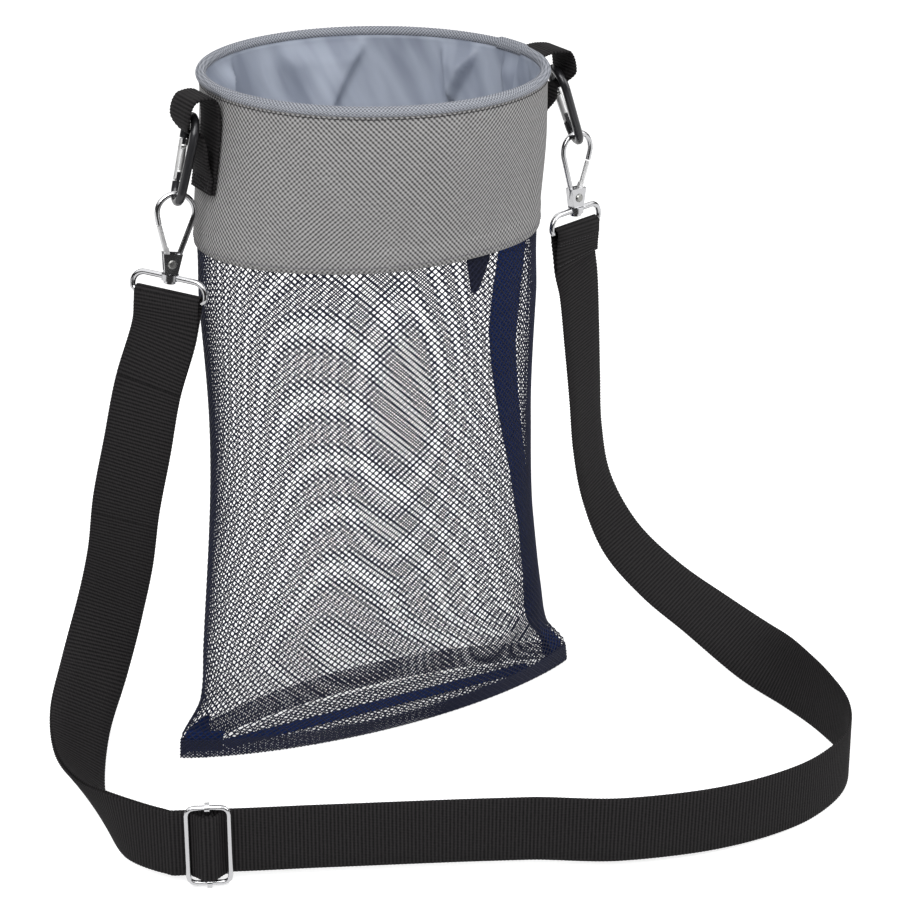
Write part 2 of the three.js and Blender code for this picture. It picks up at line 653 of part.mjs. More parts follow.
function addCarabiner(frame, side) {
  const nosePoint = hingePoint.clone().addScaledVector(gateWay, nosePinReach);
  const hingePin = cylinder(GATE_PIN_RADIUS, GATE_ROD - FIT, 'x', hingePoint.toArray());
  const nosePin = cylinder(NOSE_PIN_RADIUS, GATE_ROD - FIT, 'x', nosePoint.toArray());
  addMesh(frame, `${side.name}_carabiner_body`, carabinerBody(), anodisedBlack);
  addMesh(frame, `${side.name}_carabiner_gate`, carabinerGate(), nickel);
  addMesh(frame, `${side.name}_carabiner_hinge_pin`, hingePin, springSteel);
  addMesh(frame, `${side.name}_carabiner_nose_pin`, nosePin, springSteel);
}

// Snap hook in its own frame: bow's top wire at the origin, bow in XZ, gate on the outward side
const wireRadius = BOW_WIRE / 2;
const bowRadius = (BOW_WIDTH - BOW_WIRE) / 2;
const footX = (HOOK_BASE_WIDTHS[0] - BOW_WIRE) / 2;
const footZ = -HOOK_BASE_TOP - wireRadius;
const bowCentre = v3(0, 0, -bowRadius);
const footSpan = Math.hypot(footX, footZ + bowRadius);
const bowEnd = Math.atan2(footZ + bowRadius, footX) + Math.acos(bowRadius / footSpan);
const bowTouch = v3(bowRadius * Math.cos(bowEnd), 0, bowCentre.z + bowRadius * Math.sin(bowEnd));
const sideWay = v3(footX, 0, footZ).sub(bowTouch).normalize();
const baseLow = -HOOK_BASE_TOP - HOOK_BASE_HEIGHT;
const rivetHeight = baseLow + HOOK_BASE_HEIGHT / 2;
const ringTop = baseLow - FIT - RING_BOSS_HEIGHT / 2;
const barDrop = -ringTop + RING_HEIGHT;

function mirrorX(point) {
  return v3(-point.x, point.y, point.z);
}

function hookBody(outwardSign) {
  const [x, z] = [v3(1, 0, 0), v3(0, 0, 1)];
  const nose = mirrorX(bowTouch.clone().addScaledVector(sideWay, (-BOW_NOSE_DROP - bowTouch.z) / sideWay.z));
  const over = arc(bowCentre, bowRadius, bowEnd / DEG, 180 - bowEnd / DEG, FOLD_STEPS * 3, x, z);
  const bow = rod([v3(footX, 0, footZ), ...over, nose], wireRadius, v3(0, 1, 0));
  const [wide, narrow] = HOOK_BASE_WIDTHS;
  const outline = new THREE.Shape([
    v2(-wide / 2, -HOOK_BASE_TOP), v2(-narrow / 2, baseLow), v2(narrow / 2, baseLow),
    v2(wide / 2, -HOOK_BASE_TOP)]);
  const block = new THREE.ExtrudeGeometry(outline, { depth: HOOK_BASE_THICK, bevelEnabled: false })
    .rotateX(Math.PI / 2).translate(0, HOOK_BASE_THICK / 2, 0);
  const slotWidth = HOOK_GATE_THICK + 2 * FIT;
  const slotRight = narrow / 2 - FIT;
  const slotDepth = HOOK_BASE_HEIGHT - BOW_WIRE / 2;
  const slot = box([wide + slotRight, slotWidth, slotDepth * 2], [(slotRight - wide) / 2, 0, -HOOK_BASE_TOP]);
  const hole = cylinder(RIVET_RADIUS + FIT / 2, HOOK_BASE_THICK * 2, 'y', [0, 0, rivetHeight]);
  const studLength = RING_BOSS_HEIGHT + 2 * FIT + STUD_HEAD_HEIGHT;
  const stud = cylinder(STUD_RADIUS, studLength + BURY, 'z', [0, 0, baseLow - studLength / 2 + BURY / 2]);
  const headHeight = baseLow - studLength + STUD_HEAD_HEIGHT / 2;
  const head = cylinder(STUD_HEAD_RADIUS, STUD_HEAD_HEIGHT, 'z', [0, 0, headHeight]);
  const cheeks = carve([block], [slot, hole]);
  return turned(carve([cheeks, bow, stud, head]), outwardSign);
}

// Puts the gate side outward: half a turn about the hook's own axis
function turned(geometry, outwardSign) {
  return outwardSign > 0 ? geometry.rotateZ(Math.PI) : geometry;
}

function hookGate(outwardSign) {
  const rootRadius = HOOK_BASE_WIDTHS[1] / 2 - 2 * FIT;
  const tip = mirrorX(bowTouch.clone().addScaledVector(sideWay, (-BOW_NOSE_DROP - bowTouch.z) / sideWay.z));
  const down = mirrorX(sideWay);
  const top = tip.clone().addScaledVector(down, NOSE_GAP);
  const foot = mirrorX(v3(footX, 0, -HOOK_BASE_TOP + wireRadius));
  const bar = rod([top, foot.clone().addScaledVector(down, -FIT)], HOOK_GATE_ROD / 2, v3(0, 1, 0));
  const root = cylinder(rootRadius, HOOK_GATE_THICK, 'y', [0, 0, rivetHeight]);
  const half = HOOK_GATE_ROD / 2;
  const arm = new THREE.Shape([
    v2(foot.x - half, foot.z + half), v2(-rootRadius, rivetHeight), v2(0, rivetHeight - rootRadius / 2),
    v2(0, rivetHeight + rootRadius / 2), v2(foot.x + half, foot.z + half),
  ]);
  const plate = new THREE.ExtrudeGeometry(arm, { depth: HOOK_GATE_THICK, bevelEnabled: false })
    .rotateX(Math.PI / 2).translate(0, HOOK_GATE_THICK / 2, 0);
  const hole = cylinder(RIVET_RADIUS + FIT / 2, HOOK_GATE_THICK * 2, 'y', [0, 0, rivetHeight]);
  return turned(carve([root, plate, bar], [hole]), outwardSign);
}

function hookRivet() {
  const underHead = HOOK_BASE_THICK / 2 + FIT;
  const [radius, height] = [RIVET_HEAD_RADIUS, RIVET_HEAD_HEIGHT];
  const profile = [v2(0, -underHead - height), v2(radius * RIVET_DOME, -underHead - height * RIVET_DOME),
    v2(radius, -underHead), v2(RIVET_RADIUS, -underHead)];
  const whole = [...profile, ...profile.map((q) => v2(q.x, -q.y)).reverse()];
  return outward(mergeVertices(bareLathe(whole, ROD_SIDES), 1e-4)).translate(0, 0, rivetHeight);
}

function bareLathe(profile, sides) {
  const geometry = new THREE.LatheGeometry(profile, sides);
  geometry.deleteAttribute('normal');
  geometry.deleteAttribute('uv');
  return geometry;
}

// Strap ring in the hook's frame: straight bar below, high shoulders, an eye for the swivel on top
const ringHalf = STRAP_WIDTH / 2 + STRAP_SIDE_PLAY + RING_WIRE / 2;

function strapRing() {
  const [x, z] = [v3(1, 0, 0), v3(0, 0, 1)];
  const high = ringTop;
  const low = ringTop - RING_HEIGHT;
  const corner = (px, pz, radius, from) => arc(v3(px, 0, pz), radius, from, from + 90, FOLD_STEPS, x, z);
  const path = [
    ...corner(ringHalf - RING_SHOULDER, high - RING_SHOULDER, RING_SHOULDER, 0),
    ...corner(-ringHalf + RING_SHOULDER, high - RING_SHOULDER, RING_SHOULDER, 90),
    ...corner(-ringHalf + RING_CORNER, low + RING_CORNER, RING_CORNER, 180),
    ...corner(ringHalf - RING_CORNER, low + RING_CORNER, RING_CORNER, 270),
  ];
  const eachOnce = path.filter((p, i) => p.distanceTo(path[(i + 1) % path.length]) > FIT);
  const wire = rod(eachOnce, RING_WIRE / 2, v3(0, 1, 0), { loop: true });
  const boss = cylinder(RING_BOSS_RADIUS, RING_BOSS_HEIGHT, 'z', [0, 0, ringTop]);
  const eye = cylinder(STUD_RADIUS + FIT, RING_BOSS_HEIGHT * 2, 'z', [0, 0, ringTop]);
  return carve([wire, boss], [eye]);
}

// Each side's chain: tab, carabiner, hook, ring
const bars = {};
for (const side of SIDES) {
  addMesh(part, `${side.name}_tab_webbing`, tabWebbing(side), webbingBlack);
  const swing = addGroup(part, `${side.name}_clip_swing`, [side.sign * pivotReach(side), 0, pivotHeight],
    [0, -side.sign * side.clipTilt * DEG, 0]);
  const clip = addGroup(swing, `${side.name}_clip`, [0, 0, 0], [0, 0, side.clipTurn * DEG]);
  addCarabiner(clip, side);
  const link = rodRadius + wireRadius + FIT;
  const lean = (side.hookTilt - side.clipTilt) * DEG;
  const hang = addGroup(swing, `${side.name}_hook_swing`, [0, 0, -clipReach], [0, -side.sign * lean, 0]);
  const hook = addGroup(hang, `${side.name}_hook`, [0, 0, link], [0, 0, side.hookTurn * DEG]);
  addMesh(hook, `${side.name}_hook_body`, hookBody(side.sign), nickel);
  addMesh(hook, `${side.name}_hook_gate`, hookGate(side.sign), nickel);
  addMesh(hook, `${side.name}_hook_rivet`, hookRivet(), springSteel);
  const ring = addGroup(hang, `${side.name}_ring`, [0, 0, link], [0, 0, side.ringTurn * DEG]);
  addMesh(ring, `${side.name}_strap_ring`, strapRing(), nickel);
  part.updateMatrixWorld(true);
  const along = v3(1, 0, 0).transformDirection(ring.matrixWorld);
  const up = v3(0, 0, 1).transformDirection(ring.matrixWorld);
  bars[side.name] = { at: ring.localToWorld(v3(0, 0, -barDrop)), along, up };
}

// Strap: the route runs from bar to bar, and layers lie beside it along the band's own normal
const below = (bar) => bar.at.clone().addScaledVector(bar.up, -SEWN_TAIL / 2);
const { left: leftBar, right: rightBar } = bars;
const midPoints = STRAP_ROUTE.map(([p]) => v3(...p));
const routePoints = [rightBar.at, below(rightBar), ...midPoints, below(leftBar), leftBar.at];
const rightEdge = rightBar.along;
const leftEdge = leftBar.along.clone().negate();
const routeEdges = [rightEdge, rightEdge, ...STRAP_ROUTE.map(([, w]) => v3(...w)), leftEdge, leftEdge];
const middleLine = new THREE.CatmullRomCurve3(routePoints, false, 'centripetal');
const edgeLine = new THREE.CatmullRomCurve3(routeEdges, false, 'catmullrom');

// Place on the route at a share of its points: middle, tangent, edge way and face way
function onRoute(share) {
  const at = middleLine.getPoint(share);
  const along = middleLine.getTangent(share);
  const loose = edgeLine.getPoint(share);
  const across = loose.addScaledVector(along, -loose.dot(along)).normalize();
  return { at, along, across, face: v3().crossVectors(along, across) };
}

middleLine.arcLengthDivisions = ROUND * ROD_SIDES;
const routeLength = middleLine.getLength();
const spanCount = routePoints.length - 1;
const shareAt = (length) => middleLine.getUtoTmapping(0, length);
const sliderShare = (SLIDER_POINT + 2) / spanCount;
const layerPitch = STRAP_THICK + FIT;
const ringFold = RING_WIRE / 2 + FIT + STRAP_THICK / 2;
const barFold = SLIDER_BAR / 2 + FIT + STRAP_THICK / 2;
const slider = onRoute(sliderShare);
const toSlider = levels(0, sliderShare, ROUND * ROD_SIDES).map((share) => middleLine.getPoint(share));
const sliderLength = toSlider.slice(1).reduce((sum, p, i) => sum + p.distanceTo(toSlider[i]), 0);

// How far along the slider a point of the route lies, in the slider's own straight line
const sliderOffset = (at) => at.clone().sub(slider.at).dot(slider.along);
const underBar = SLIDER_WIRE / 2 + FIT + STRAP_THICK / 2;
const overBar = SLIDER_BAR / 2 + 2 * FIT + STRAP_THICK * 1.5;
const barSpacing = (SLIDER_LENGTH - SLIDER_WIRE) / 2;

// The band rides behind the slider's outer bars and in front of its middle bar
function weave(offset) {
  const reach = Math.abs(offset);
  const rise = THREE.MathUtils.smoothstep(reach, SLIDER_BAR / 2, barSpacing - SLIDER_WIRE / 2);
  const settle = 1 - THREE.MathUtils.smoothstep(reach, barSpacing + SLIDER_WIRE, SLIDER_SETTLE);
  return reach < barSpacing ? -overBar + (overBar + underBar) * rise : underBar * settle;
}

// A layer's station: the band is straight through the slider and follows the route beyond it
function layerAt(share, offset, back = false) {
  const { at, across, face } = onRoute(share);
  const reach = sliderOffset(at);
  const straight = slider.at.clone().addScaledVector(slider.along, reach).addScaledVector(slider.face, offset);
  const free = Math.abs(share - sliderShare) * spanCount > 2 ? 1
    : THREE.MathUtils.smoothstep(Math.abs(reach), SLIDER_LENGTH / 2 + SLIDER_WIRE, SLIDER_LENGTH);
  return {
    at: straight.lerp(at.clone().addScaledVector(face, offset), free),
    across: slider.across.clone().lerp(across, free),
    width: STRAP_WIDTH,
    back,
  };
}

// Half a turn of webbing over a ring's bar, from one side of the band to the other
function overRing(bar, across, from, to) {
  const face = v3().crossVectors(bar.along, bar.up);
  const turn = arc(bar.at, ringFold, from, to, FOLD_STEPS + 2, face, bar.up);
  return turn.map((at) => ({ at, across, width: STRAP_WIDTH }));
}

function shoulderStrap() {
  const places = [];
  for (let length = ringFold * 2; length < routeLength - ringFold * 2;) {
    const share = shareAt(length);
    const offset = length - sliderLength;
    const near = THREE.MathUtils.smoothstep(length, 0, SEWN_TAIL / 2);
    const far = THREE.MathUtils.smoothstep(routeLength - length, 0, SEWN_TAIL / 2);
    places.push({ length, share, offset, near, far });
    length += Math.abs(offset) < SLIDER_LENGTH ? SLIDER_STEP : RIBBON_STEP;
  }
  const tail = places.filter(({ length }) => length < SEWN_TAIL).reverse()
    .map(({ share, near }) => layerAt(share, ringFold + (layerPitch - ringFold) * near, true));
  const mainLayer = places.map(({ share, offset, near, far }) =>
    layerAt(share, weave(offset) - ringFold * (2 - near - far)));
  const pastBar = ({ share, offset }) => share > sliderShare && offset > barSpacing - SLIDER_WIRE / 2;
  const endLayer = places.filter(pastBar).reverse().map(({ share, offset, far }) =>
    layerAt(share, layerPitch + weave(offset) + (ringFold - layerPitch) * (1 - far), true));
  const rightFold = overRing(rightBar, rightEdge, 0, 180);
  const leftFold = overRing(leftBar, leftEdge, 180, 0);
  const wrap = arc(slider.at, barFold, WRAP_FROM, WRAP_TO, FOLD_STEPS * 2, slider.along, slider.face)
    .map((at) => ({ at, across: slider.across, width: STRAP_WIDTH }));
  return ribbon([...tail, ...rightFold, ...mainLayer, ...leftFold, ...endLayer, ...wrap], STRAP_THICK);
}
addMesh(part, 'shoulder_strap', shoulderStrap(), webbingBlack);

// Slider: a wire frame with a middle bar whose ends wrap the wire
function sliderFrame() {
  const halfAlong = barSpacing;
  const halfAcross = STRAP_WIDTH / 2 + SLIDER_SIDE_PLAY + SLIDER_WIRE / 2;
  const [a, b] = [slider.along, slider.across];
  const corner = (sa, sb, from) => arc(slider.at.clone().addScaledVector(a, sa * (halfAlong - SLIDER_CORNER))
    .addScaledVector(b, sb * (halfAcross - SLIDER_CORNER)), SLIDER_CORNER, from, from + 90, FOLD_STEPS / 2, a, b);
  const path = [...corner(1, 1, 0), ...corner(-1, 1, 90), ...corner(-1, -1, 180), ...corner(1, -1, 270)];
  return { geometry: rod(path, SLIDER_WIRE / 2, slider.face, { loop: true }), halfAcross };
}

function sliderBar(halfAcross) {
  const ends = [-1, 1].map((s) => slider.at.clone().addScaledVector(slider.across, s * halfAcross));
  const bar = rod(ends, SLIDER_BAR / 2, slider.face);
  const wrapHalf = SLIDER_BAR / 2;
  const eye = (at, radius, half) => rod([-half, half].map((s) => at.clone().addScaledVector(slider.along, s)),
    radius, slider.face);
  const collars = ends.map((at) => eye(at, SLIDER_WIRE / 2 + FIT + SLIDER_WRAP, wrapHalf));
  const holes = ends.map((at) => eye(at, SLIDER_WIRE / 2 + FIT, SLIDER_BAR * 2));
  return carve([bar, ...collars], holes);
}
const frame = sliderFrame();
addMesh(part, 'slider_frame', frame.geometry, nickel);
addMesh(part, 'slider_bar', sliderBar(frame.halfAcross), nickel);

export default part;
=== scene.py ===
"""Looks for a peg bag: a net bag with a woven collar, a hooped rim and a clip-on shoulder strap.

Metres, +Z up, X from the left tab to the right tab, the front faces -Y. Sizes are named in
millimetres and turned to metres once, by MM.
"""
import json
import logging
import math
from dataclasses import dataclass, field
from enum import Enum
from typing import Callable, Sequence

import bpy
import numpy as np
from mathutils import Vector
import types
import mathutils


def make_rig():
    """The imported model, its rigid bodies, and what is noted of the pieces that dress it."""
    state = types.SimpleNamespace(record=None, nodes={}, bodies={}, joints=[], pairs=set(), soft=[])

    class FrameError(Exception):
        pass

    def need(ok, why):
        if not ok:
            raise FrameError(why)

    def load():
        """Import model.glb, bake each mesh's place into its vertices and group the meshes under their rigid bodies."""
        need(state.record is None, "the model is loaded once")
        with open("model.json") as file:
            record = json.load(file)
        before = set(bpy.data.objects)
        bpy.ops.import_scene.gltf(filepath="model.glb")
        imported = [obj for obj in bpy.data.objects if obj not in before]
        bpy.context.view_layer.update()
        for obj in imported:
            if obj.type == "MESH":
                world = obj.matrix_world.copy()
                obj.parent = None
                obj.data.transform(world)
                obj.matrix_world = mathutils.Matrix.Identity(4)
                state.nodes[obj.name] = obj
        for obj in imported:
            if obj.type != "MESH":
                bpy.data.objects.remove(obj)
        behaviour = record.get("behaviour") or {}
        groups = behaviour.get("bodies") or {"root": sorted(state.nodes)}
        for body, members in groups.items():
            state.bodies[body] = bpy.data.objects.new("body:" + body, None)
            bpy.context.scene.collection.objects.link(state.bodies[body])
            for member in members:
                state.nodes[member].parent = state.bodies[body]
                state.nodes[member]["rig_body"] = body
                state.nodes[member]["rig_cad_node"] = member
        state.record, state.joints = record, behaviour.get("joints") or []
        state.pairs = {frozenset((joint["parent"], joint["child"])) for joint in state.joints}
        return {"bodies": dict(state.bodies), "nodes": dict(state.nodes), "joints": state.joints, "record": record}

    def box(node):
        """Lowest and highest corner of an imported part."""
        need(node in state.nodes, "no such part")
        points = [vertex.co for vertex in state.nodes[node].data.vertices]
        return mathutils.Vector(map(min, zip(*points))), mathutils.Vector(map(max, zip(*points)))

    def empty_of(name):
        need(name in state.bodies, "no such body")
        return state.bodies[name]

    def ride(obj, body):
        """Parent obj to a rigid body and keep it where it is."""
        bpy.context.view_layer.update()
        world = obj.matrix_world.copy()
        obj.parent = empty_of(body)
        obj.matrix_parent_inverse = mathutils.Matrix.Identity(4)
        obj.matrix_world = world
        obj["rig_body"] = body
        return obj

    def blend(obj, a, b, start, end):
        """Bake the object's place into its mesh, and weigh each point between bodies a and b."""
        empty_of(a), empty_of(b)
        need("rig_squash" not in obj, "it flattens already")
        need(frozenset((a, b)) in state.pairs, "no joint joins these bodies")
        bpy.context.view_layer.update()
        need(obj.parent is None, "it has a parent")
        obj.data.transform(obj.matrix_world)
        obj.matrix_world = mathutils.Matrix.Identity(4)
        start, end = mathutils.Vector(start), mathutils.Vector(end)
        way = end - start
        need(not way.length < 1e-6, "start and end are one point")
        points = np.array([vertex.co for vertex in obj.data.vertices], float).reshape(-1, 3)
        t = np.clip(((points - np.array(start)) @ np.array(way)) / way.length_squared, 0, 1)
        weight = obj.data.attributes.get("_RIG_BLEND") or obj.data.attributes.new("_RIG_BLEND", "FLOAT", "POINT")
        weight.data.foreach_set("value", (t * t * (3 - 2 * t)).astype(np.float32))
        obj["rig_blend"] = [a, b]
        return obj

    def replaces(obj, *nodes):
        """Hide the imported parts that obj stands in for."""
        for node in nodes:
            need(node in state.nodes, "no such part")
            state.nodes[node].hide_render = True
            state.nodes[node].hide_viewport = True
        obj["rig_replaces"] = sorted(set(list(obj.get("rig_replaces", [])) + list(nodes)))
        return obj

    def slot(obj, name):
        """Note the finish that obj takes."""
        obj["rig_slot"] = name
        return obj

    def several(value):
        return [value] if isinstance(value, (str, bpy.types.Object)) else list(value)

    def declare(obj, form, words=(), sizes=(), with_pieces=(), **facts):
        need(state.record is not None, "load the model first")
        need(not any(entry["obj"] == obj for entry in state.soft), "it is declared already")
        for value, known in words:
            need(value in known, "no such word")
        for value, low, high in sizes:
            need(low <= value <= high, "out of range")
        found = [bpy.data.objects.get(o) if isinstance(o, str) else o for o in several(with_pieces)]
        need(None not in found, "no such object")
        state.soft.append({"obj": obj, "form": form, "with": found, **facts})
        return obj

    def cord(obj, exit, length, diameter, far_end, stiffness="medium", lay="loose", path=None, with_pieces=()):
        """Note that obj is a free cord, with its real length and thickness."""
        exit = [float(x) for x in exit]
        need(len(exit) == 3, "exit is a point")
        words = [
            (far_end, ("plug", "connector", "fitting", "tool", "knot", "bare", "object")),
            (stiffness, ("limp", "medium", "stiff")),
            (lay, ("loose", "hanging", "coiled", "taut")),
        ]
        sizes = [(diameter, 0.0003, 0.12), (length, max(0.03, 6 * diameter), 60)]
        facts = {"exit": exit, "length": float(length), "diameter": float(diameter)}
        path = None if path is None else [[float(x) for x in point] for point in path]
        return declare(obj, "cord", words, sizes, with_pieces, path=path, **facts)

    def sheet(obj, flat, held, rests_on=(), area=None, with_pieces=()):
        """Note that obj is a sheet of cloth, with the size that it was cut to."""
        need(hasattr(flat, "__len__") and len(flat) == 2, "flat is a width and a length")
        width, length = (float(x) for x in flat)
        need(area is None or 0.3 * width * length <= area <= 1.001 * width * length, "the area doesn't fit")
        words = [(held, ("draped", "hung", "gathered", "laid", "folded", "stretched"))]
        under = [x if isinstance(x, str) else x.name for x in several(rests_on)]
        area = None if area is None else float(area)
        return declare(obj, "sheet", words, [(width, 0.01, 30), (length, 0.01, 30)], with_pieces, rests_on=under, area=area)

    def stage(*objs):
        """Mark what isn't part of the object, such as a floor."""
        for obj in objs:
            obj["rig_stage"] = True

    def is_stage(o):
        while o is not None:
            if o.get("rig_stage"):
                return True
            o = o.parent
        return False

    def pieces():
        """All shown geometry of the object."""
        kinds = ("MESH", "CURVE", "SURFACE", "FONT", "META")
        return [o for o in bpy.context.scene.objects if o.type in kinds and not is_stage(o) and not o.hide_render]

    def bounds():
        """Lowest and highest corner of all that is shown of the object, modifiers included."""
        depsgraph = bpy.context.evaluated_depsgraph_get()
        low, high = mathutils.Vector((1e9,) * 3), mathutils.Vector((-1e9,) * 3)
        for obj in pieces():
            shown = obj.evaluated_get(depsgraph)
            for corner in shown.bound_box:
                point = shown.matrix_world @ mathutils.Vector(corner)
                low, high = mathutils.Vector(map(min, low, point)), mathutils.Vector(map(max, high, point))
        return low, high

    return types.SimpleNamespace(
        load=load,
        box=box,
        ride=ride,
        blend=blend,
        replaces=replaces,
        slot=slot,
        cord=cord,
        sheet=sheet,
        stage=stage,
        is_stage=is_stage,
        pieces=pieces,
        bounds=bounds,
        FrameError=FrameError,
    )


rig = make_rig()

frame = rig.load()
cad_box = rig.bounds()

MM = 0.001
LOG = logging.getLogger("peg_bag")
SIZE_FILE = "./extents.json"
# How far a band's edge lies inside its nominal width, for its ribs
EDGE_MM = 0.08
# How far a stitch's middle rises and its ends sink, in radii of the thread
STITCH_RISE, STITCH_SINK = 1.3, 0.6
UP, BACK = np.array([0.0, 0, 1]), np.array([0.0, 1, 0])
Array = np.ndarray
Span = tuple[float, float]
Place = tuple[float, float, float]
# Random waves: their seed, and the fewest and most of them in a ring
Waves = tuple[int, int, int]
Output = tuple[bpy.types.Node, int | str]


class Side(Enum):
    """The two ends of the tab axis, with the sign of X there."""

    LEFT = -1
    RIGHT = 1

    @property
    def label(self) -> str:
        """The word that names of pieces and bodies start with."""
        return self.name.lower()


class Cloth(Enum):
    """Record slots of the soft finishes."""

    COLLAR = "woven_collar"
    LINING = "nylon_lining"
    BINDING = "rim_tape"
    NET = "net"
    TAPE = "net_tape"
    WEBBING = "black_webbing"


class Metal(Enum):
    """Record slots of the metal finishes."""

    NICKEL = "nickel_plate"
    ANODISED = "black_anodised"
    PIN = "steel_pin"
    WIRE = "spring_wire"


def linear(code: str) -> tuple[float, float, float, float]:
    """Turns an sRGB hex colour to linear light.

    Args:
        code: six hex digits.

    Returns:
        Linear red, green and blue, with full alpha.
    """
    parts = [int(code[i:i + 2], 16) / 255 for i in (0, 2, 4)]
    light = [c / 12.92 if c <= 0.04045 else ((c + 0.055) / 1.055) ** 2.4 for c in parts]
    return (light[0], light[1], light[2], 1.0)


@dataclass
class Nodes:
    """A node tree that is being filled."""

    tree: bpy.types.NodeTree

    def give(self, node: bpy.types.Node, settings: dict, links: dict | None = None) -> bpy.types.Node:
        """Gives a node its settings and the links into it.

        Args:
            node: the node.
            settings: node properties by name, and values of inputs by the input's name or number.
            links: outputs by the name or number of the input that they feed.

        Returns:
            The same node.
        """
        for key, value in settings.items():
            if isinstance(key, int) or key in node.inputs:
                node.inputs[key].default_value = value
            else:
                setattr(node, key, value)
        for key, (source, output) in (links or {}).items():
            self.tree.links.new(source.outputs[output], node.inputs[key])
        return node

    def add(self, kind: str, settings: dict | None = None, links: dict | None = None) -> bpy.types.Node:
        """A new node of a kind, with its settings and links."""
        return self.give(self.tree.nodes.new(kind), settings or {}, links)

    def calc(self, operation: str, *terms: float | Output) -> Output:
        """A sum, product or other function of one to three terms, each a number or an output."""
        values = {i: term for i, term in enumerate(terms) if not isinstance(term, tuple)}
        links = {i: term for i, term in enumerate(terms) if isinstance(term, tuple)}
        return self.add("ShaderNodeMath", {"operation": operation, **values}, links), 0

    def ranged(self, value: Output, source: Span, target: Span = (0.0, 1.0), eased: bool = False) -> Output:
        """A value carried from one range to another, softly at the ends if eased, and held there."""
        settings = {"interpolation_type": "SMOOTHSTEP" if eased else "LINEAR", "From Min": source[0],
                    "From Max": source[1], "To Min": target[0], "To Max": target[1]}
        return self.add("ShaderNodeMapRange", settings, {"Value": value}), 0

    def sine_of(self, place: Output, pitch_mm: float) -> Output:
        """A sine from -1 to 1 that repeats once in a length, at a place in millimetres."""
        return self.calc("SINE", self.calc("MULTIPLY", place, 2 * math.pi / pitch_mm))

    def streaks(self, place: Output, grain_mm: Span) -> Output:
        """Noise with its own grain along and across the cloth, at a place in millimetres."""
        scale = (1 / grain_mm[0], 1 / grain_mm[1], 1.0)
        mapped = self.add("ShaderNodeMapping", {"Scale": scale}, {"Vector": place})
        noise = {"Scale": 1.0, "Detail": 2.0}
        return self.add("ShaderNodeTexNoise", noise, {"Vector": (mapped, "Vector")}), 0

    def relief(self, height: Output, strength: float, depth_mm: float, under: Output | None = None) -> Output:
        """Shallow relief from a height, on top of a coarser or finer one if that is given."""
        links = {"Height": height} | ({"Normal": under} if under else {})
        return self.add("ShaderNodeBump", {"Strength": strength, "Distance": depth_mm * MM}, links), 0

    def parts(self, place: Output) -> tuple[Output, Output, Output]:
        """The three parts of a place."""
        split = self.add("ShaderNodeSeparateXYZ", {}, {0: place})
        return (split, 0), (split, 1), (split, 2)


def blank(title: str) -> tuple[bpy.types.Material, Nodes, bpy.types.Node]:
    """A new material, with its nodes and its shader."""
    made = bpy.data.materials.new(title)
    made.use_nodes = True
    return made, Nodes(made.node_tree), made.node_tree.nodes["Principled BSDF"]


@dataclass(frozen=True)
class Finish:
    """A finish: how one material of the bag is made and coloured."""

    title: str
    roughness: float

    def material(self) -> bpy.types.Material:
        """The finish's material, made once and shared by every piece that has it."""
        known = bpy.data.materials.get(self.title)
        if known is not None:
            return known
        made, nodes, shader = blank(self.title)
        nodes.give(shader, {"Roughness": self.roughness})
        self.dress(nodes, shader)
        return made

    def dress(self, nodes: Nodes, shader: bpy.types.Node) -> None:
        """Adds colour and surface to the shader; each kind of finish has its own."""
        raise NotImplementedError


@dataclass(frozen=True)
class ClothFinish(Finish):
    """A finish of woven or knitted fibre, drawn in millimetres along and across the cloth."""

    def place(self, nodes: Nodes) -> tuple[Output, Output, Output]:
        """The place on the cloth: whole, along it and across it."""
        whole = nodes.add("ShaderNodeUVMap", {"uv_map": "cloth"}), "UV"
        return whole, *nodes.parts(whole)[:2]

    def paint(self, nodes: Nodes, shader: bpy.types.Node, tone: Output, shades: tuple[str, str],
              normal: Output, mirror: float) -> None:
        """Colours the shader and gives it its relief.

        Args:
            nodes: the material's nodes.
            shader: its shader.
            tone: 0 where the cloth is darkest, 1 where it is lightest.
            shades: its darkest and its lightest colour.
            normal: its relief.
            mirror: the specular level; fibres break up most of the light that a smooth plastic throws back.
        """
        dark, light = (linear(shade) for shade in shades)
        colour = nodes.add("ShaderNodeMix", {"data_type": "RGBA", 6: dark, 7: light}, {0: tone})
        nodes.give(shader, {"Specular IOR Level": mirror}, {"Base Color": (colour, 2), "Normal": normal})


@dataclass(frozen=True)
class WovenPolyester(ClothFinish):
    """Two-tone polyester oxford, woven from light and dark yarn: a dotted grey with a faint twill lean."""

    light: str = "adacac"
    dark: str = "474646"
    yarn_mm: float = 1.38
    slub_mm: float = 9.0
    relief_mm: float = 0.14
    patch_mm: float = 55.0
    lead: Span = (0.3, 0.7)
    patch_edge: Span = (0.4, 0.6)
    slub: float = 0.5
    tones: Span = (-0.55, 1.05)
    bump: float = 0.5
    gloss: float = 0.2

    def dress(self, nodes: Nodes, shader: bpy.types.Node) -> None:
        """Dots where light yarns pass over dark ones; one diagonal or the other leads in each patch."""
        place, along, across = self.place(nodes)
        rising, falling = (nodes.sine_of(nodes.calc(way, along, across), 2 * self.yarn_mm)
                           for way in ("ADD", "SUBTRACT"))
        patch = nodes.streaks(place, (self.patch_mm, self.patch_mm * 2))
        lead = nodes.ranged(patch, self.patch_edge, self.lead)
        over = nodes.add("ShaderNodeMix", {"data_type": "FLOAT"}, {0: lead, 2: rising, 3: falling}), 0
        slubs = nodes.streaks(place, (self.slub_mm, self.yarn_mm))
        tone = nodes.ranged(nodes.calc("MULTIPLY_ADD", slubs, self.slub, over), self.tones)
        self.paint(nodes, shader, tone, (self.dark, self.light),
                   nodes.relief(over, self.bump, self.relief_mm), self.gloss)


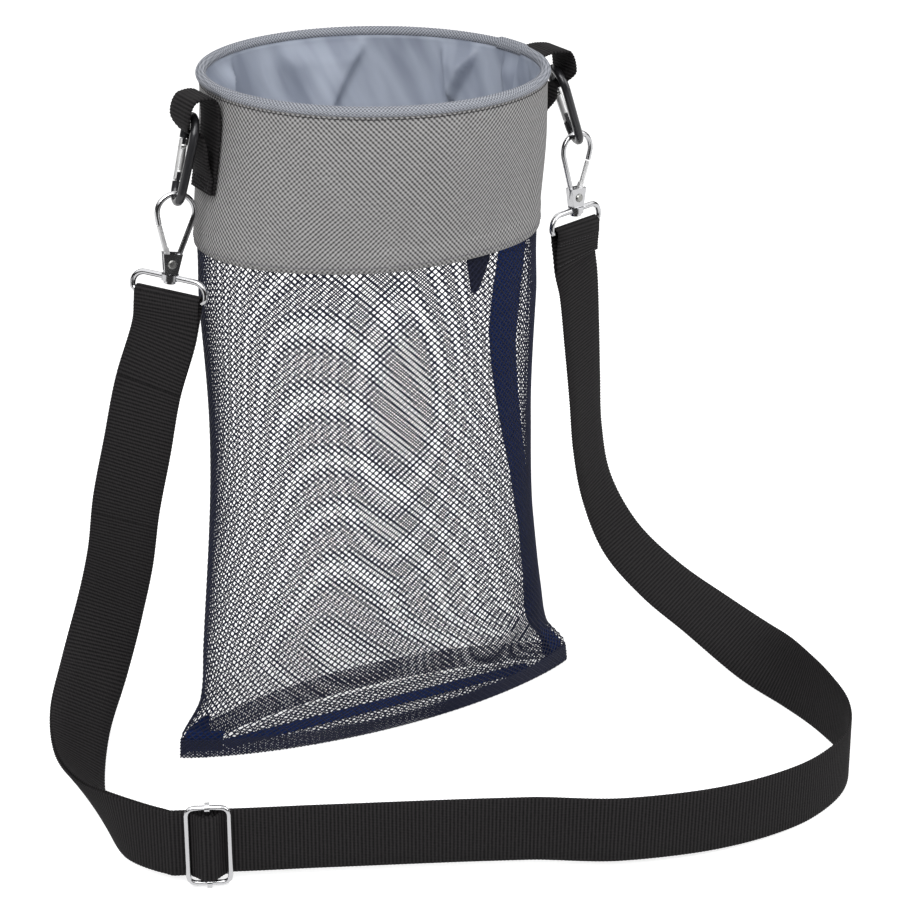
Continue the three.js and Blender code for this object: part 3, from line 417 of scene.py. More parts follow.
@dataclass(frozen=True)
class NylonTaffeta(ClothFinish):
    """Calendered nylon taffeta: smooth and faintly lustrous, with soft creases, painted shade along them, and fine
    threads.
    """

    # The cloth's colour, and the painted shade that darkens it along the creases
    colour: str = "a4abb9"
    shade: str = "868d9c"
    thread_mm: float = 1.2
    crease_mm: float = 18.0
    crease_degrees: float = 28.0
    thread_relief_mm: float = 0.05
    crease_relief_mm: float = 1.2
    thread_bump: float = 0.25
    crease_bump: float = 0.5
    tones: Span = (0.36, 0.62)
    gloss: float = 0.35

    def dress(self, nodes: Nodes, shader: bpy.types.Node) -> None:
        """Slanting creases with painted shade along them, and threads drawn coarser than real ones so that they show.
        """
        place, along, across = self.place(nodes)
        lean = (0, 0, math.radians(self.crease_degrees))
        turned = nodes.add("ShaderNodeMapping", {"Rotation": lean}, {"Vector": place})
        crease_relief_and_shade = nodes.streaks((turned, "Vector"), (self.crease_mm, self.crease_mm * 4))
        weave = nodes.calc("MULTIPLY", *(nodes.sine_of(way, self.thread_mm) for way in (along, across)))
        fine = nodes.relief(weave, self.thread_bump, self.thread_relief_mm)
        # The colour follows the creases: painted shade
        self.paint(nodes, shader, nodes.ranged(crease_relief_and_shade, self.tones), (self.shade, self.colour),
                   nodes.relief(crease_relief_and_shade, self.crease_bump, self.crease_relief_mm, fine), self.gloss)


@dataclass(frozen=True)
class RibbedWebbing(ClothFinish):
    """Polyester webbing woven with heavy weft ribs: black and dull, with painted shade in each groove."""

    # The crest's lit colour, and the painted shade in each groove
    crest: str = "2b292a"
    groove: str = "030203"
    rib_mm: float = 2.0
    warp_mm: float = 0.95
    relief_mm: float = 0.12
    rib: float = 0.5
    warp: float = 0.28
    tones: Span = (-0.1, 1.1)
    bump: float = 0.5
    gloss: float = 0.2

    def dress(self, nodes: Nodes, shader: bpy.types.Node) -> None:
        """Painted shade in the grooves between ribs and between warp threads, in step with the modelled ribs."""
        place, along, across = self.place(nodes)
        # Darker in each groove and between warp threads: painted shade, with random fuzz on top
        rib = nodes.sine_of(nodes.calc("ADD", along, self.rib_mm / 4), self.rib_mm)
        fuzz = nodes.streaks(place, (self.rib_mm, self.warp_mm))
        body = nodes.calc("MULTIPLY_ADD", rib, self.rib, fuzz)
        tone = nodes.calc("MULTIPLY_ADD", nodes.sine_of(across, self.warp_mm), self.warp, body)
        self.paint(nodes, shader, nodes.ranged(tone, self.tones), (self.groove, self.crest),
                   nodes.relief(tone, self.bump, self.relief_mm), self.gloss)


@dataclass(frozen=True)
class KnittedYarn(ClothFinish):
    """Twisted polyester filament yarn: satin, with a painted highlight on each turn of the twist."""

    # The yarn's lit colour and its shaded colour: painted highlight and painted shade on the twist
    colour: str = "181e3c"
    shade: str = "0b0f23"
    twist_mm: float = 1.3
    relief_mm: float = 0.08
    turn: float = 0.3
    bump: float = 0.4
    gloss: float = 0.3

    def dress(self, nodes: Nodes, shader: bpy.types.Node) -> None:
        """Slanting painted highlights and painted shade on the turns along the yarn, drawn coarser than real twist so
        that they show.
        """
        place, along, across = self.place(nodes)
        turn = nodes.sine_of(nodes.calc("ADD", along, across), self.twist_mm)
        fuzz = nodes.streaks(place, (self.twist_mm * 4, self.twist_mm))
        self.paint(nodes, shader, nodes.calc("MULTIPLY_ADD", turn, self.turn, fuzz), (self.shade, self.colour),
                   nodes.relief(turn, self.bump, self.relief_mm), self.gloss)


@dataclass(frozen=True)
class PolishedMetal(Finish):
    """Cast or drawn metal, tumbled and plated or anodised: clear reflections, lightly smudged."""

    colour: str = "d4d4d6"
    smudge: float = 0.1
    smudge_mm: float = 6.0
    metallic: float = 1.0
    coat: float = 0.0
    patches: Span = (0.3, 0.7)

    def dress(self, nodes: Nodes, shader: bpy.types.Node) -> None:
        """Even colour with a roughness that wanders like handled plating."""
        place = nodes.add("ShaderNodeTexCoord"), "Object"
        grain = {"Scale": 1 / (self.smudge_mm * MM), "Detail": 3.0}
        noise = nodes.add("ShaderNodeTexNoise", grain, {"Vector": place})
        rough = nodes.ranged((noise, 0), self.patches, (self.roughness, self.roughness + self.smudge))
        look = {"Base Color": linear(self.colour), "Metallic": self.metallic, "Coat Weight": self.coat}
        nodes.give(shader, look, {"Roughness": rough})


FINISHES: dict[Cloth | Metal, Finish] = {
    Cloth.COLLAR: WovenPolyester("polyester_oxford_plain_woven", 0.88),
    Cloth.LINING: NylonTaffeta("nylon_taffeta_calendered", 0.5),
    Cloth.BINDING: WovenPolyester("polyester_bias_tape_woven", 0.85, "adb0b8", "64676e", 1.0, 6.0, 0.12),
    Cloth.NET: KnittedYarn("polyester_yarn_knitted", 0.6),
    # Navy tape: a lit colour on each rib and painted shade in each groove
    Cloth.TAPE: RibbedWebbing("polyester_tape_flat_woven", 0.75, "1f3c80", "0f1f4a", 1.6, 1.0),
    Cloth.WEBBING: RibbedWebbing("polyester_webbing_rib_woven", 0.8),
    Metal.NICKEL: PolishedMetal("zinc_alloy_nickel_plated", 0.12),
    Metal.ANODISED: PolishedMetal("aluminium_black_anodised", 0.3, "2e2e31", 0.12, 5.0, 0.45, 0.5),
    Metal.PIN: PolishedMetal("steel_pin_turned", 0.3, "a9a9a6"),
    Metal.WIRE: PolishedMetal("spring_steel_wire_drawn", 0.35, "8f8f8d"),
}
# Brushed along its length, so that it spreads the light, and painted lighter than the other nickel: painted light that
# keeps it bright where the castings mirror dark
LIGHTER_GATE_METAL = PolishedMetal("steel_gate_brushed_nickel", 0.48, "f2f2f2", 0.08)
# Sewing threads, with the same painted highlight and painted shade on each turn of the twist
THREAD_GREY = KnittedYarn("polyester_thread_grey", 0.55, "807e82", "6a686c", 0.8)
THREAD_BLACK = KnittedYarn("polyester_thread_black", 0.45, "3a383a", "1c1b1d", 0.8)


@dataclass
class Patch:
    """A piece of surface in quads, in millimetres, with its place on the cloth at each corner."""

    points: Array
    quads: Array
    cloth: Array

    def outward(self) -> "Patch":
        """The patch with its faces turned out, judged by the volume that it holds."""
        a, b, c, d = (self.points[self.quads[:, i]] for i in range(4))
        volume = np.einsum("ij,ij->i", a, np.cross(b, c) + np.cross(c, d)).sum()
        if volume >= 0:
            return self
        return Patch(self.points, self.quads[:, ::-1], self.cloth[:, ::-1])


def joined(patches: Sequence[Patch]) -> Patch:
    """Several patches as one."""
    starts = np.cumsum([0] + [len(p.points) for p in patches[:-1]])
    return Patch(
        np.concatenate([p.points for p in patches]),
        np.concatenate([p.quads + s for p, s in zip(patches, starts)]),
        np.concatenate([p.cloth for p in patches]),
    )


def sweep(rings: Array, along_mm: Array, around_mm: Array, closed: bool = False) -> Patch:
    """A closed body through rings of points.

    Args:
        rings: stations by points by three, in millimetres.
        along_mm: place along the path of each station, with one more at the end of a closed path.
        around_mm: place round the ring of each point, and once more at its start.
        closed: whether the last station meets the first one.

    Returns:
        The patch, capped at both ends unless it is closed.
    """
    stations, count = rings.shape[:2]
    spans = stations if closed else stations - 1
    i, j = np.meshgrid(np.arange(spans), np.arange(count), indexing="ij")
    i, j = i.ravel(), j.ravel()
    up, side = (i + 1) % stations, (j + 1) % count
    quads = np.stack([i * count + j, i * count + side, up * count + side, up * count + j], 1)
    u0, u1, v0, v1 = along_mm[i], along_mm[i + 1], around_mm[j], around_mm[j + 1]
    cloth = np.stack([np.stack(c, 1) for c in ((u0, v0), (u0, v1), (u1, v1), (u1, v0))], 1)
    if not closed:
        k = np.arange(count // 2 - 1)
        cap = np.stack([k, k + 1, count - 2 - k, count - 1 - k], 1)
        last = cap + (stations - 1) * count
        quads = np.concatenate([quads, cap[:, ::-1], last])
        ends = [np.stack([np.full(cap.shape, u), around_mm[c]], 2)
                for u, c in ((along_mm[0], cap[:, ::-1]), (along_mm[stations - 1], cap))]
        cloth = np.concatenate([cloth, *ends])
    return Patch(rings.reshape(-1, 3), quads, cloth).outward()


def placed(name: str, data: bpy.types.ID) -> bpy.types.Object:
    """A new object in the scene."""
    made = bpy.data.objects.new(name, data)
    bpy.context.scene.collection.objects.link(made)
    return made


def show(name: str, patch: Patch, slot: Cloth, node: str | None = None,
         finish: Finish | None = None) -> bpy.types.Object:
    """Makes a smooth-shaded mesh object from a patch.

    Args:
        name: the piece's name.
        patch: its surface.
        slot: the record's slot that its finish belongs to.
        node: the CAD node that it is shown in place of, if there is one.
        finish: its material, if that isn't the slot's own.

    Returns:
        The object, not yet on a body.
    """
    mesh = bpy.data.meshes.new(name)
    count = len(patch.quads)
    mesh.vertices.add(len(patch.points))
    mesh.vertices.foreach_set("co", (patch.points * MM).astype(np.float32).ravel())
    mesh.loops.add(count * 4)
    mesh.loops.foreach_set("vertex_index", patch.quads.astype(np.int32).ravel())
    mesh.polygons.add(count)
    mesh.polygons.foreach_set("loop_start", np.arange(count, dtype=np.int32) * 4)
    mesh.update(calc_edges=True)
    layer = mesh.uv_layers.new(name="cloth")
    layer.data.foreach_set("uv", patch.cloth.astype(np.float32).ravel())
    mesh.shade_smooth()
    mesh.materials.append((finish or FINISHES[slot]).material())
    piece = placed(name, mesh)
    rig.slot(piece, slot.value)
    if node is not None:
        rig.replaces(piece, node)
    LOG.info("%s: %d faces", name, count)
    return piece


def unit(vectors: Array) -> Array:
    """The vectors at length one."""
    return vectors / np.maximum(np.linalg.norm(vectors, axis=-1, keepdims=True), 1e-12)


def smoothstep(x: Array | float, low: float, high: float) -> Array:
    """A soft step from 0 at low to 1 at high."""
    t = np.clip((np.asarray(x, float) - low) / (high - low), 0, 1)
    return t * t * (3 - 2 * t)


def travelled(points: Array) -> Array:
    """Distance along a line of points, from its start."""
    return np.concatenate([[0], np.cumsum(np.linalg.norm(np.diff(points, axis=0), axis=1))])


def waves(turns: Array, seed: int, lowest: int, highest: int) -> Array:
    """Smooth random waves round a closed ring.

    Args:
        turns: places round the ring, from 0 to 1.
        seed: which waves.
        lowest: fewest waves in the ring.
        highest: most waves in the ring.

    Returns:
        Heights of about -1 to 1.
    """
    chance = np.random.default_rng(seed)
    total = np.zeros_like(turns)
    for count in range(lowest, highest + 1):
        total += chance.normal() * np.cos(2 * math.pi * (count * turns + chance.random()))
    return total / math.sqrt(highest - lowest + 1)


@dataclass(frozen=True)
class BagShape:
    """The bag's outline: half sizes at its main heights, in millimetres, joined without overshoot."""

    heights: tuple[float, ...] = (0, 12, 33, 60, 200, 297, 383.5)
    lengths: tuple[float, ...] = (128.8, 127.8, 114, 108, 95, 98, 92.95)
    depths: tuple[float, ...] = (27, 33, 44, 55, 73, 79, 92.95)
    pinches: tuple[float, ...] = (0.7, 0.7, 0.3, 0, 0, 0, 0)
    shifts: tuple[float, ...] = (0, -0.4, -1.1, -2, -4, -4, 0)

    def at(self, values: Sequence[float], z: float) -> float:
        """One of the outline's values at a height."""
        last = len(self.heights) - 1
        slopes = np.diff(values) / np.diff(self.heights)

        def tangent(i: int) -> float:
            """The slope at one of the main heights: level where the outline turns."""
            if i == 0:
                return slopes[0]
            if i == last or slopes[i - 1] * slopes[i] <= 0:
                return 0.0
            return 2 * slopes[i - 1] * slopes[i] / (slopes[i - 1] + slopes[i])

        i = int(np.clip(np.searchsorted(self.heights, z) - 1, 0, last - 1))
        span = self.heights[i + 1] - self.heights[i]
        t = min(max((z - self.heights[i]) / span, 0), 1)
        return (values[i] * (2 * t**3 - 3 * t**2 + 1) + tangent(i) * span * (t**3 - 2 * t**2 + t)
                + values[i + 1] * (3 * t**2 - 2 * t**3) + tangent(i + 1) * span * (t**3 - t**2))

    def ring(self, z: float, inset: float, angles: Array) -> Array:
        """Points round the bag at a height, by angle from +X."""
        c, s = np.cos(angles), np.sin(angles)
        pinch = max(self.at(self.pinches, z), 0)
        x = self.at(self.shifts, z) + (self.at(self.lengths, z) - inset) * c
        y = (self.at(self.depths, z) - inset) * s * np.abs(s) ** pinch
        return np.stack([x, y, np.full_like(x, z)], 1)

    def even(self, z: float, inset: float, turns: Array) -> Array:
        """Points round the bag at a height, evenly by length along the cloth from +X."""
        angles = np.linspace(0, 2 * math.pi, 721)
        gone = travelled(self.ring(z, inset, angles))
        return self.ring(z, inset, np.interp((turns % 1) * gone[-1], gone, angles))

    def girth(self, z: float) -> float:
        """Length round the bag at a height."""
        return float(travelled(self.ring(z, 0, np.linspace(0, 2 * math.pi, 721)))[-1])


def outward_of(ring: Array) -> Array:
    """Outward directions of a level closed ring that runs counter-clockwise."""
    along = unit(np.roll(ring, -1, 0) - np.roll(ring, 1, 0))
    return np.stack([along[:, 1], -along[:, 0], np.zeros(len(ring))], 1)


def tube(points: Array, up: Array, radius: float, sides: int, closed: bool = False) -> Patch:
    """A round tube.

    Args:
        points: its middle line.
        up: a direction across the line, one or one at each point.
        radius: its radius.
        sides: faces round it, an even number.
        closed: whether the line is a loop.

    Returns:
        The tube's surface.
    """
    ahead = np.roll(points, -1, 0) - np.roll(points, 1, 0) if closed else np.gradient(points, axis=0)
    side = unit(np.cross(ahead, up))
    top = unit(np.cross(side, ahead))
    angles = np.arange(sides) * 2 * math.pi / sides
    rings = points[:, None] + radius * (np.cos(angles)[None, :, None] * side[:, None]
                                        + np.sin(angles)[None, :, None] * top[:, None])
    gone = travelled(np.concatenate([points, points[:1]]) if closed else points)
    return sweep(rings, gone, np.linspace(0, 2 * math.pi * radius, sides + 1), closed)


def stitches(points: Array, up: Array, pitch: float, length: float, radius: float) -> Patch:
    """A row of sewn stitches, each a short thread that dips into the cloth at both ends.

    Args:
        points: the row's line on the cloth.
        up: the way out of the cloth, one or one at each point.
        pitch: from the start of one stitch to the start of the next.
        length: of one stitch.
        radius: of the thread.

    Returns:
        All the stitches as one patch.
    """
    gone, up = travelled(points), np.broadcast_to(up, points.shape)
    rows = []
    for start in np.arange(0, gone[-1] - length, pitch):
        places = start + length * np.linspace(0, 1, 5)
        middle = np.stack([np.interp(places, gone, points[:, i]) for i in range(3)], 1)
        out = unit(np.stack([np.interp(places, gone, up[:, i]) for i in range(3)], 1))
        lift = radius * (np.sin(np.linspace(0, math.pi, 5)) * STITCH_RISE - STITCH_SINK)
        rows.append(tube(middle + out * lift[:, None], out, radius, 6))
    return joined(rows)


def spline(points: Array, steps: int, eased: bool) -> Array:
    """A smooth line through points.

    Args:
        points: the points that it passes through.
        steps: samples in each span.
        eased: whether spans are weighted by the root of their length, which keeps loops out of tight bends.

    Returns:
        The samples, with the last point.
    """
    ext = np.concatenate([[2 * points[0] - points[1]], points, [2 * points[-1] - points[-2]]])
    gaps = np.linalg.norm(np.diff(ext, axis=0), axis=1) ** 0.5 if eased else np.ones(len(ext) - 1)
    t = (np.arange(steps) / steps)[:, None]
    out = []
    for i in range(1, len(ext) - 2):
        a, b, c, d = ext[i - 1:i + 3]
        ga, gb, gc = np.maximum(gaps[i - 1:i + 2], 1e-6)
        start = ((b - a) / ga - (c - a) / (ga + gb) + (c - b) / gb) * gb
        end = ((c - b) / gb - (d - b) / (gb + gc) + (d - c) / gc) * gb
        out.append(b + start * t + (3 * (c - b) - 2 * start - end) * t**2 + (2 * (b - c) + start + end) * t**3)
    return np.concatenate(out + [points[-1:]])


# A band's section, in half widths and half thicknesses: flat faces with edges that are rounded off
SECTION = np.array([(-1, 0), (-0.97, 1), (-0.5, 1), (0, 1), (0.5, 1), (0.97, 1),
                    (1, 0), (0.97, -1), (0.5, -1), (0, -1), (-0.5, -1), (-0.97, -1)])


def band(points: Array, across: Array, width: float | Array, thick: float, rib: float = 0.0,
         pitch: float = 2.0, start: float = 0.0) -> Patch:
    """A flat woven band with ribs across it.

    Args:
        points: its middle line.
        across: the way to its edge, one or one at each point.
        width: its width, one value or one for each point.
        thick: its thickness.
        rib: height of the ribs above and below the mean face.
        pitch: length of one rib.
        start: place along the webbing at the first point, so that ribs of neighbouring pieces meet.

    Returns:
        The band's surface.
    """
    ahead = unit(np.gradient(points, axis=0))
    face = unit(np.cross(ahead, across))
    edge = unit(np.cross(face, ahead))
    gone = start + travelled(points)
    crest = rib * np.cos(2 * math.pi * gone / pitch)
    half = np.broadcast_to(np.asarray(width, float) / 2, gone.shape) - EDGE_MM + 0.5 * crest
    deep = thick / 2 - rib + crest
    rings = (points[:, None] + edge[:, None] * (SECTION[None, :, :1] * half[:, None, None])
             + face[:, None] * (SECTION[None, :, 1:] * deep[:, None, None]))
    wide = float(np.max(half))
    around = np.concatenate([SECTION[:, 0] * wide, SECTION[:1, 0] * wide])
    return sweep(rings, gone, around)


@dataclass
class Collar:
    """The woven collar with its turned hem, its lining and the piped rim."""

    shape: BagShape
    hem_mm: float = 297.0
    edge_mm: float = 382.9
    wall_mm: float = 1.0
    turned_mm: float = 11.0
    # The cloth's long and short waves, the step at the turned hem and the hem's own waves
    swell_mm: Span = (0.55, 0.3)
    turned_step_mm: float = 0.45
    half_step_mm: float = 0.6
    flare_mm: float = 0.5
    lining_inset_mm: float = 2.4
    lining_wall_mm: float = 0.5
    # The lining's margins to the hem and the edge, and the shares of its height that are held at each
    lining_margins_mm: Span = (0.4, 0.6)
    lining_held: Span = (0.3, 0.16)
    crease_mm: float = 0.6
    rim_mm: float = 91.9
    rim_height_mm: float = 384.2
    pipe_mm: float = 2.7
    pipe_sides: int = 20
    rib_mm: float = 2.2
    rib_height_mm: float = 0.13
    rib_lean: float = 0.35
    overlap_degrees: float = 6.0
    overlap_mm: float = 22.0
    overlap_wall_mm: float = 0.9
    # Rows of stitches: above the hem and below the piping, then their pitch, length and thread radius
    rows_mm: Span = (3.0, 1.2)
    stitch_mm: Place = (3.4, 2.7, 0.28)
    stations: int = 420
    long_waves: Waves = (3, 3, 9)
    short_waves: Waves = (5, 12, 22)
    hem_waves: Waves = (8, 4, 10)
    lining_waves: Waves = (22, 16, 30)
    # Folds of the slack lining: angle at the rim, lean down to the hem and half width in degrees, depth in mm
    pleats: tuple[tuple[float, float, float, float], ...] = (
        (8, -12, 5, 6.0), (22, 26, 5, 8.0), (37, -20, 6, 7.0), (66, 34, 8, 6.0), (98, -26, 10, 5.0),
        (124, 24, 6, 6.0), (146, -22, 6, 7.0), (160, 20, 4, 6.5), (176, -16, 5, 7.0), (215, 12, 9, 4.0),
        (262, -14, 10, 4.0), (305, 10, 9, 4.0), (340, -8, 7, 4.0),
    )
    # Width of a fold's steep side and of its soft one, as shares of its half width
    pleat_sides: Span = (0.3, 1.6)

    def build(self) -> None:
        """Makes every cloth piece from the hem to the rim."""
        under_pipe = self.rim_height_mm - self.pipe_mm - self.rows_mm[1]
        pieces = [self.panel(), self.lining(), self.binding(), self.overlap(),
                  self.sewn_row("hem_stitches", self.hem_mm + self.rows_mm[0], THREAD_GREY),
                  self.sewn_row("rim_stitches", under_pipe, THREAD_BLACK)]
        for piece in pieces:
            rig.ride(piece, "bag")

    def outside(self, turns: Array, z: float) -> Array:
        """The collar's outer face at a height, with its slack waves and the step of the turned hem."""
        ring = self.shape.even(z, 0, turns)
        rise = (z - self.hem_mm) / (self.edge_mm - self.hem_mm)
        slack = 4 * rise * (1 - rise)
        long, short = waves(turns, *self.long_waves), waves(turns + 0.1 * rise, *self.short_waves)
        swell = self.swell_mm[0] * slack * long + self.swell_mm[1] * slack * short
        step = self.hem_mm + self.turned_mm
        hem = self.turned_step_mm * (1 - smoothstep(z, step - self.half_step_mm, step + self.half_step_mm))
        flare = self.flare_mm * (1 - smoothstep(rise, 0, 0.3)) * waves(turns, *self.hem_waves)
        return ring + outward_of(ring) * (swell + hem + flare)[:, None]

    def turns(self) -> Array:
        """Places of the stations round the collar, from 0 to 1."""
        return np.arange(self.stations) / self.stations

    def wall(self, outer: list[Array], heights: Array, thick: float, girth: float) -> Patch:
        """A closed wall of cloth round the bag.

        Args:
            outer: its outer face, a ring at each height.
            heights: the heights.
            thick: its thickness.
            girth: length round it.

        Returns:
            The wall's surface.
        """
        inner = [ring - outward_of(ring) * thick for ring in outer]
        around = np.concatenate([heights, heights[::-1], heights[:1]])
        return sweep(np.stack(outer + inner[::-1], 1), np.linspace(0, girth, self.stations + 1), around, True)

    def panel(self) -> bpy.types.Object:
        """The collar's cloth as one closed wall."""
        turns, step = self.turns(), self.hem_mm + self.turned_mm
        even = np.linspace(self.hem_mm, self.edge_mm, 34)
        heights = np.unique(np.concatenate([even, step + np.array([-0.7, 0, 0.7])]))
        girth = self.shape.girth((self.hem_mm + self.edge_mm) / 2)
        patch = self.wall([self.outside(turns, z) for z in heights], heights, self.wall_mm, girth)
        piece = show("collar_cloth", patch, Cloth.COLLAR, "collar_panel")
        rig.sheet(piece, flat=(girth * MM, (self.edge_mm - self.hem_mm) * MM), held="stretched")
        return piece

    def lining(self) -> bpy.types.Object:
        """The lining: looser than the collar, so that it creases inward between its seams."""
        turns = self.turns()
        below, above = self.lining_margins_mm
        heights = np.linspace(self.hem_mm + below, self.edge_mm - above, 40)
        outer = []
        for z in heights:
            ring = self.shape.even(z, self.lining_inset_mm, turns)
            rise = (z - heights[0]) / (heights[-1] - heights[0])
            low, high = (smoothstep(x, 0, held) for x, held in zip((rise, 1 - rise), self.lining_held))
            slack = float(low * high)
            crease = self.crease_mm * np.abs(waves(turns - 0.05 * rise, *self.lining_waves))
            outer.append(ring - outward_of(ring) * (slack * (self.folds(turns, rise) + crease))[:, None])
        girth = self.shape.girth(self.edge_mm)
        patch = self.wall(outer, heights, self.lining_wall_mm, girth)
        piece = show("collar_lining_cloth", patch, Cloth.LINING, "collar_lining")
        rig.sheet(piece, flat=(girth * MM, (self.edge_mm - self.hem_mm) * MM), held="hung")
        return piece

    def folds(self, turns: Array, rise: float) -> Array:
        """How far the lining's folds stand inward, each steep on one side and soft on the other."""
        total = np.zeros_like(turns)
        for angle, lean, half, depth in self.pleats:
            off = (turns * 360 - angle - lean * (1 - rise) + 180) % 360 - 180
            width = half * np.where(off * lean < 0, *self.pleat_sides)
            total += depth * np.exp(-(off / width) ** 2)
        return total

    def pipe(self, start: float, end: float, radius: float, closed: bool) -> Patch:
        """A length of the ribbed tape that is drawn round the rim's hoop.

        Args:
            start: angle where it starts, in degrees.
            end: angle where it ends.
            radius: radius of its section.
            closed: whether it runs all the way round.

        Returns:
            The tape's surface.
        """
        length = math.radians(end - start) * self.rim_mm
        count = int(length / self.rib_mm) * 6
        angles = np.radians(np.linspace(start, end, count + 1))[:count if closed else None]
        section = np.arange(self.pipe_sides) * 2 * math.pi / self.pipe_sides
        along = np.linspace(0, length, count + 1)
        lean = self.rib_lean * np.sin(section)[None]
        ribs = self.rib_height_mm * np.cos(2 * math.pi * (along[:len(angles), None] / self.rib_mm + lean))
        thick = radius + ribs
        reach = self.rim_mm + thick * np.cos(section)
        height = self.rim_height_mm + thick * np.sin(section)
        rings = np.stack([reach * np.cos(angles)[:, None], reach * np.sin(angles)[:, None], height], 2)
        return sweep(rings, along, np.linspace(0, 2 * math.pi * radius, self.pipe_sides + 1), closed)

    def binding(self) -> bpy.types.Object:
        """The tape round the rim."""
        return show("rim_binding_tape", self.pipe(0, 360, self.pipe_mm, True), Cloth.BINDING, "rim_binding")

    def overlap(self) -> bpy.types.Object:
        """The short sleeve where the tape's end laps its start."""
        half = math.degrees(self.overlap_mm / 2 / self.rim_mm)
        lap = self.pipe(self.overlap_degrees - half, self.overlap_degrees + half,
                        self.pipe_mm + self.overlap_wall_mm, False)
        return show("rim_binding_lap", lap, Cloth.BINDING, "binding_overlap")

    def sewn_row(self, name: str, z: float, thread: Finish) -> bpy.types.Object:
        """A row of stitches round the collar's outer face."""
        ring = self.outside(np.linspace(0, 1, 900, endpoint=False), z)
        return show(name, stitches(ring, outward_of(ring), *self.stitch_mm), Cloth.COLLAR, finish=thread)


@dataclass
class NetBag:
    """The knitted net with its doubled bottom seam, and the tapes inside it."""

    shape: BagShape
    inset_mm: float = 1.7
    top_mm: float = 309.0
    foot_mm: float = 0.6
    hole_mm: float = 4.2
    row_mm: float = 3.8
    yarn_mm: float = 0.72
    seam_yarn_mm: float = 1.0
    belly_mm: float = 60.0
    hem_mm: float = 297.0
    seam_rows: int = 6
    tape_mm: float = 25.0
    narrow_tape_mm: float = 10.0
    tape_inset_mm: float = 2.9
    tape_thick_mm: float = 0.8
    tape_foot_mm: float = 3.0
    tape_top_mm: float = 1.0
    tape_wave_mm: float = 31.0
    # The fold in the left ear: its length round the ear, and its top
    ear_fold_mm: Span = (44.0, 17.0)
    # The wide tape wanders off the side as it goes down: heights and how far toward the back it lies
    tape_heights_mm: tuple[float, ...] = (0, 30, 60, 95, 130, 165, 190, 215, 245, 275, 305)
    tape_drifts_mm: tuple[float, ...] = (0, -2, -5, -6, -3, 3, 6.5, 9, 6.5, 2.5, 0)
    slack_mm: float = 1.7
    slack_wave_mm: float = 46.0
    slack_waves: tuple[Waves, Waves] = ((31, 2, 7), (32, 2, 7))
    # Heights over which the net comes free above its seam, and is held again below the hem
    free_mm: Span = (8.0, 60.0)
    held_mm: Span = (255.0, 292.0)
    # Half the step between yarns where they cross, up the sides and in the foot
    cross_mm: Span = (0.12, 0.1)
    # Weights that turn a point of the outline to about its outward way
    outward: Place = (1, 2.2, 0)
    # Ends that hang below the hem: how far inside and above the hem they start, and how far they swing in
    hang_mm: Place = (4.7, 5.0, 3.0)
    hang_points: int = 45
    loose_degrees: float = 26.0
    loose_drop_mm: float = 22.0
    flap_degrees: float = -72.0
    flap_drop_mm: float = 27.0
    flap_shares: Place = (0, 0.35, 1)
    flap_widths_mm: Place = (19, 17, 5)
    # The height at which the net's cut is measured
    girth_at_mm: float = 200.0
    # Half the yarns' surface as a share of the net's cut, since most of an open net is holes
    yarn_share: float = 0.8

    def build(self) -> None:
        """Makes the net and its tapes."""
        net = self.net()
        flat = (self.shape.girth(self.girth_at_mm) * MM, self.top_mm * MM)
        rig.sheet(net, flat=flat, held="hung", area=self.yarn_share * flat[0] * flat[1])
        foot = self.base()
        tapes = [self.side_tape(), self.ear_fold(), self.loose_end(), self.bottom_tape(), self.seam_flap()]
        for piece in [net, foot, *tapes]:
            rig.ride(piece, "bag")

    def inset(self, z: float) -> float:
        """How far the net lies inside the outline."""
        return self.inset_mm * float(smoothstep(z, 0, self.belly_mm)) + self.yarn_mm / 2

    def slack(self, turns: Array, z: float) -> Array:
        """How far the limp net stands out of its mean shape, never inward, as the tapes lie inside it."""
        turn = z / self.slack_wave_mm
        first, second = (waves(turns, *each) for each in self.slack_waves)
        wave = first * math.cos(turn) + second * math.sin(turn)
        free = float(smoothstep(z, *self.free_mm) * (1 - smoothstep(z, *self.held_mm)))
        return self.slack_mm * free * (0.5 + 0.5 * np.clip(wave, -1, 1))

    def strands(self, lean: int, rows: int, shift: float, count: int, thick: float) -> list[Patch]:
        """Yarns that all lean one way, from the foot up.

        Args:
            lean: 1 for yarns that run counter-clockwise as they rise, -1 for the others.
            rows: number of half diamonds up the yarns.
            shift: share of a diamond by which the yarns are moved round.
            count: number of yarns.
            thick: thickness of the yarn.

        Returns:
            A tube for each yarn.
        """
        levels = self.foot_mm + self.row_mm / 2 * np.arange(rows + 1)
        turns = (np.arange(count) + shift) / count
        points, out = [], []
        for k, z in enumerate(levels):
            at = turns + lean * k / 2 / count
            ring = self.shape.even(float(z), self.inset(float(z)), at)
            way = unit(ring * np.array(self.outward))
            points.append(ring + way * self.slack(at, float(z))[:, None])
            out.append(way)
        lines, ups = np.stack(points, 1), np.stack(out, 1)
        lines = lines + ups * (self.cross_mm[0] * lean)
        return [tube(line, up, thick / 2, 4) for line, up in zip(lines, ups)]

    def net(self) -> bpy.types.Object:
        """The yarns of both leans, with the second layer in the bottom seam."""
        count = round(self.shape.girth(self.girth_at_mm) / self.hole_mm)
        rows = int((self.top_mm - self.foot_mm) / self.row_mm * 2)
        yarns = []
        for lean in (-1, 1):
            yarns += self.strands(lean, rows, 0, count, self.yarn_mm)
            yarns += self.strands(lean, self.seam_rows, 0.5, count, self.seam_yarn_mm)
        return show("net_yarns", joined(yarns), Cloth.NET, "mesh_body")

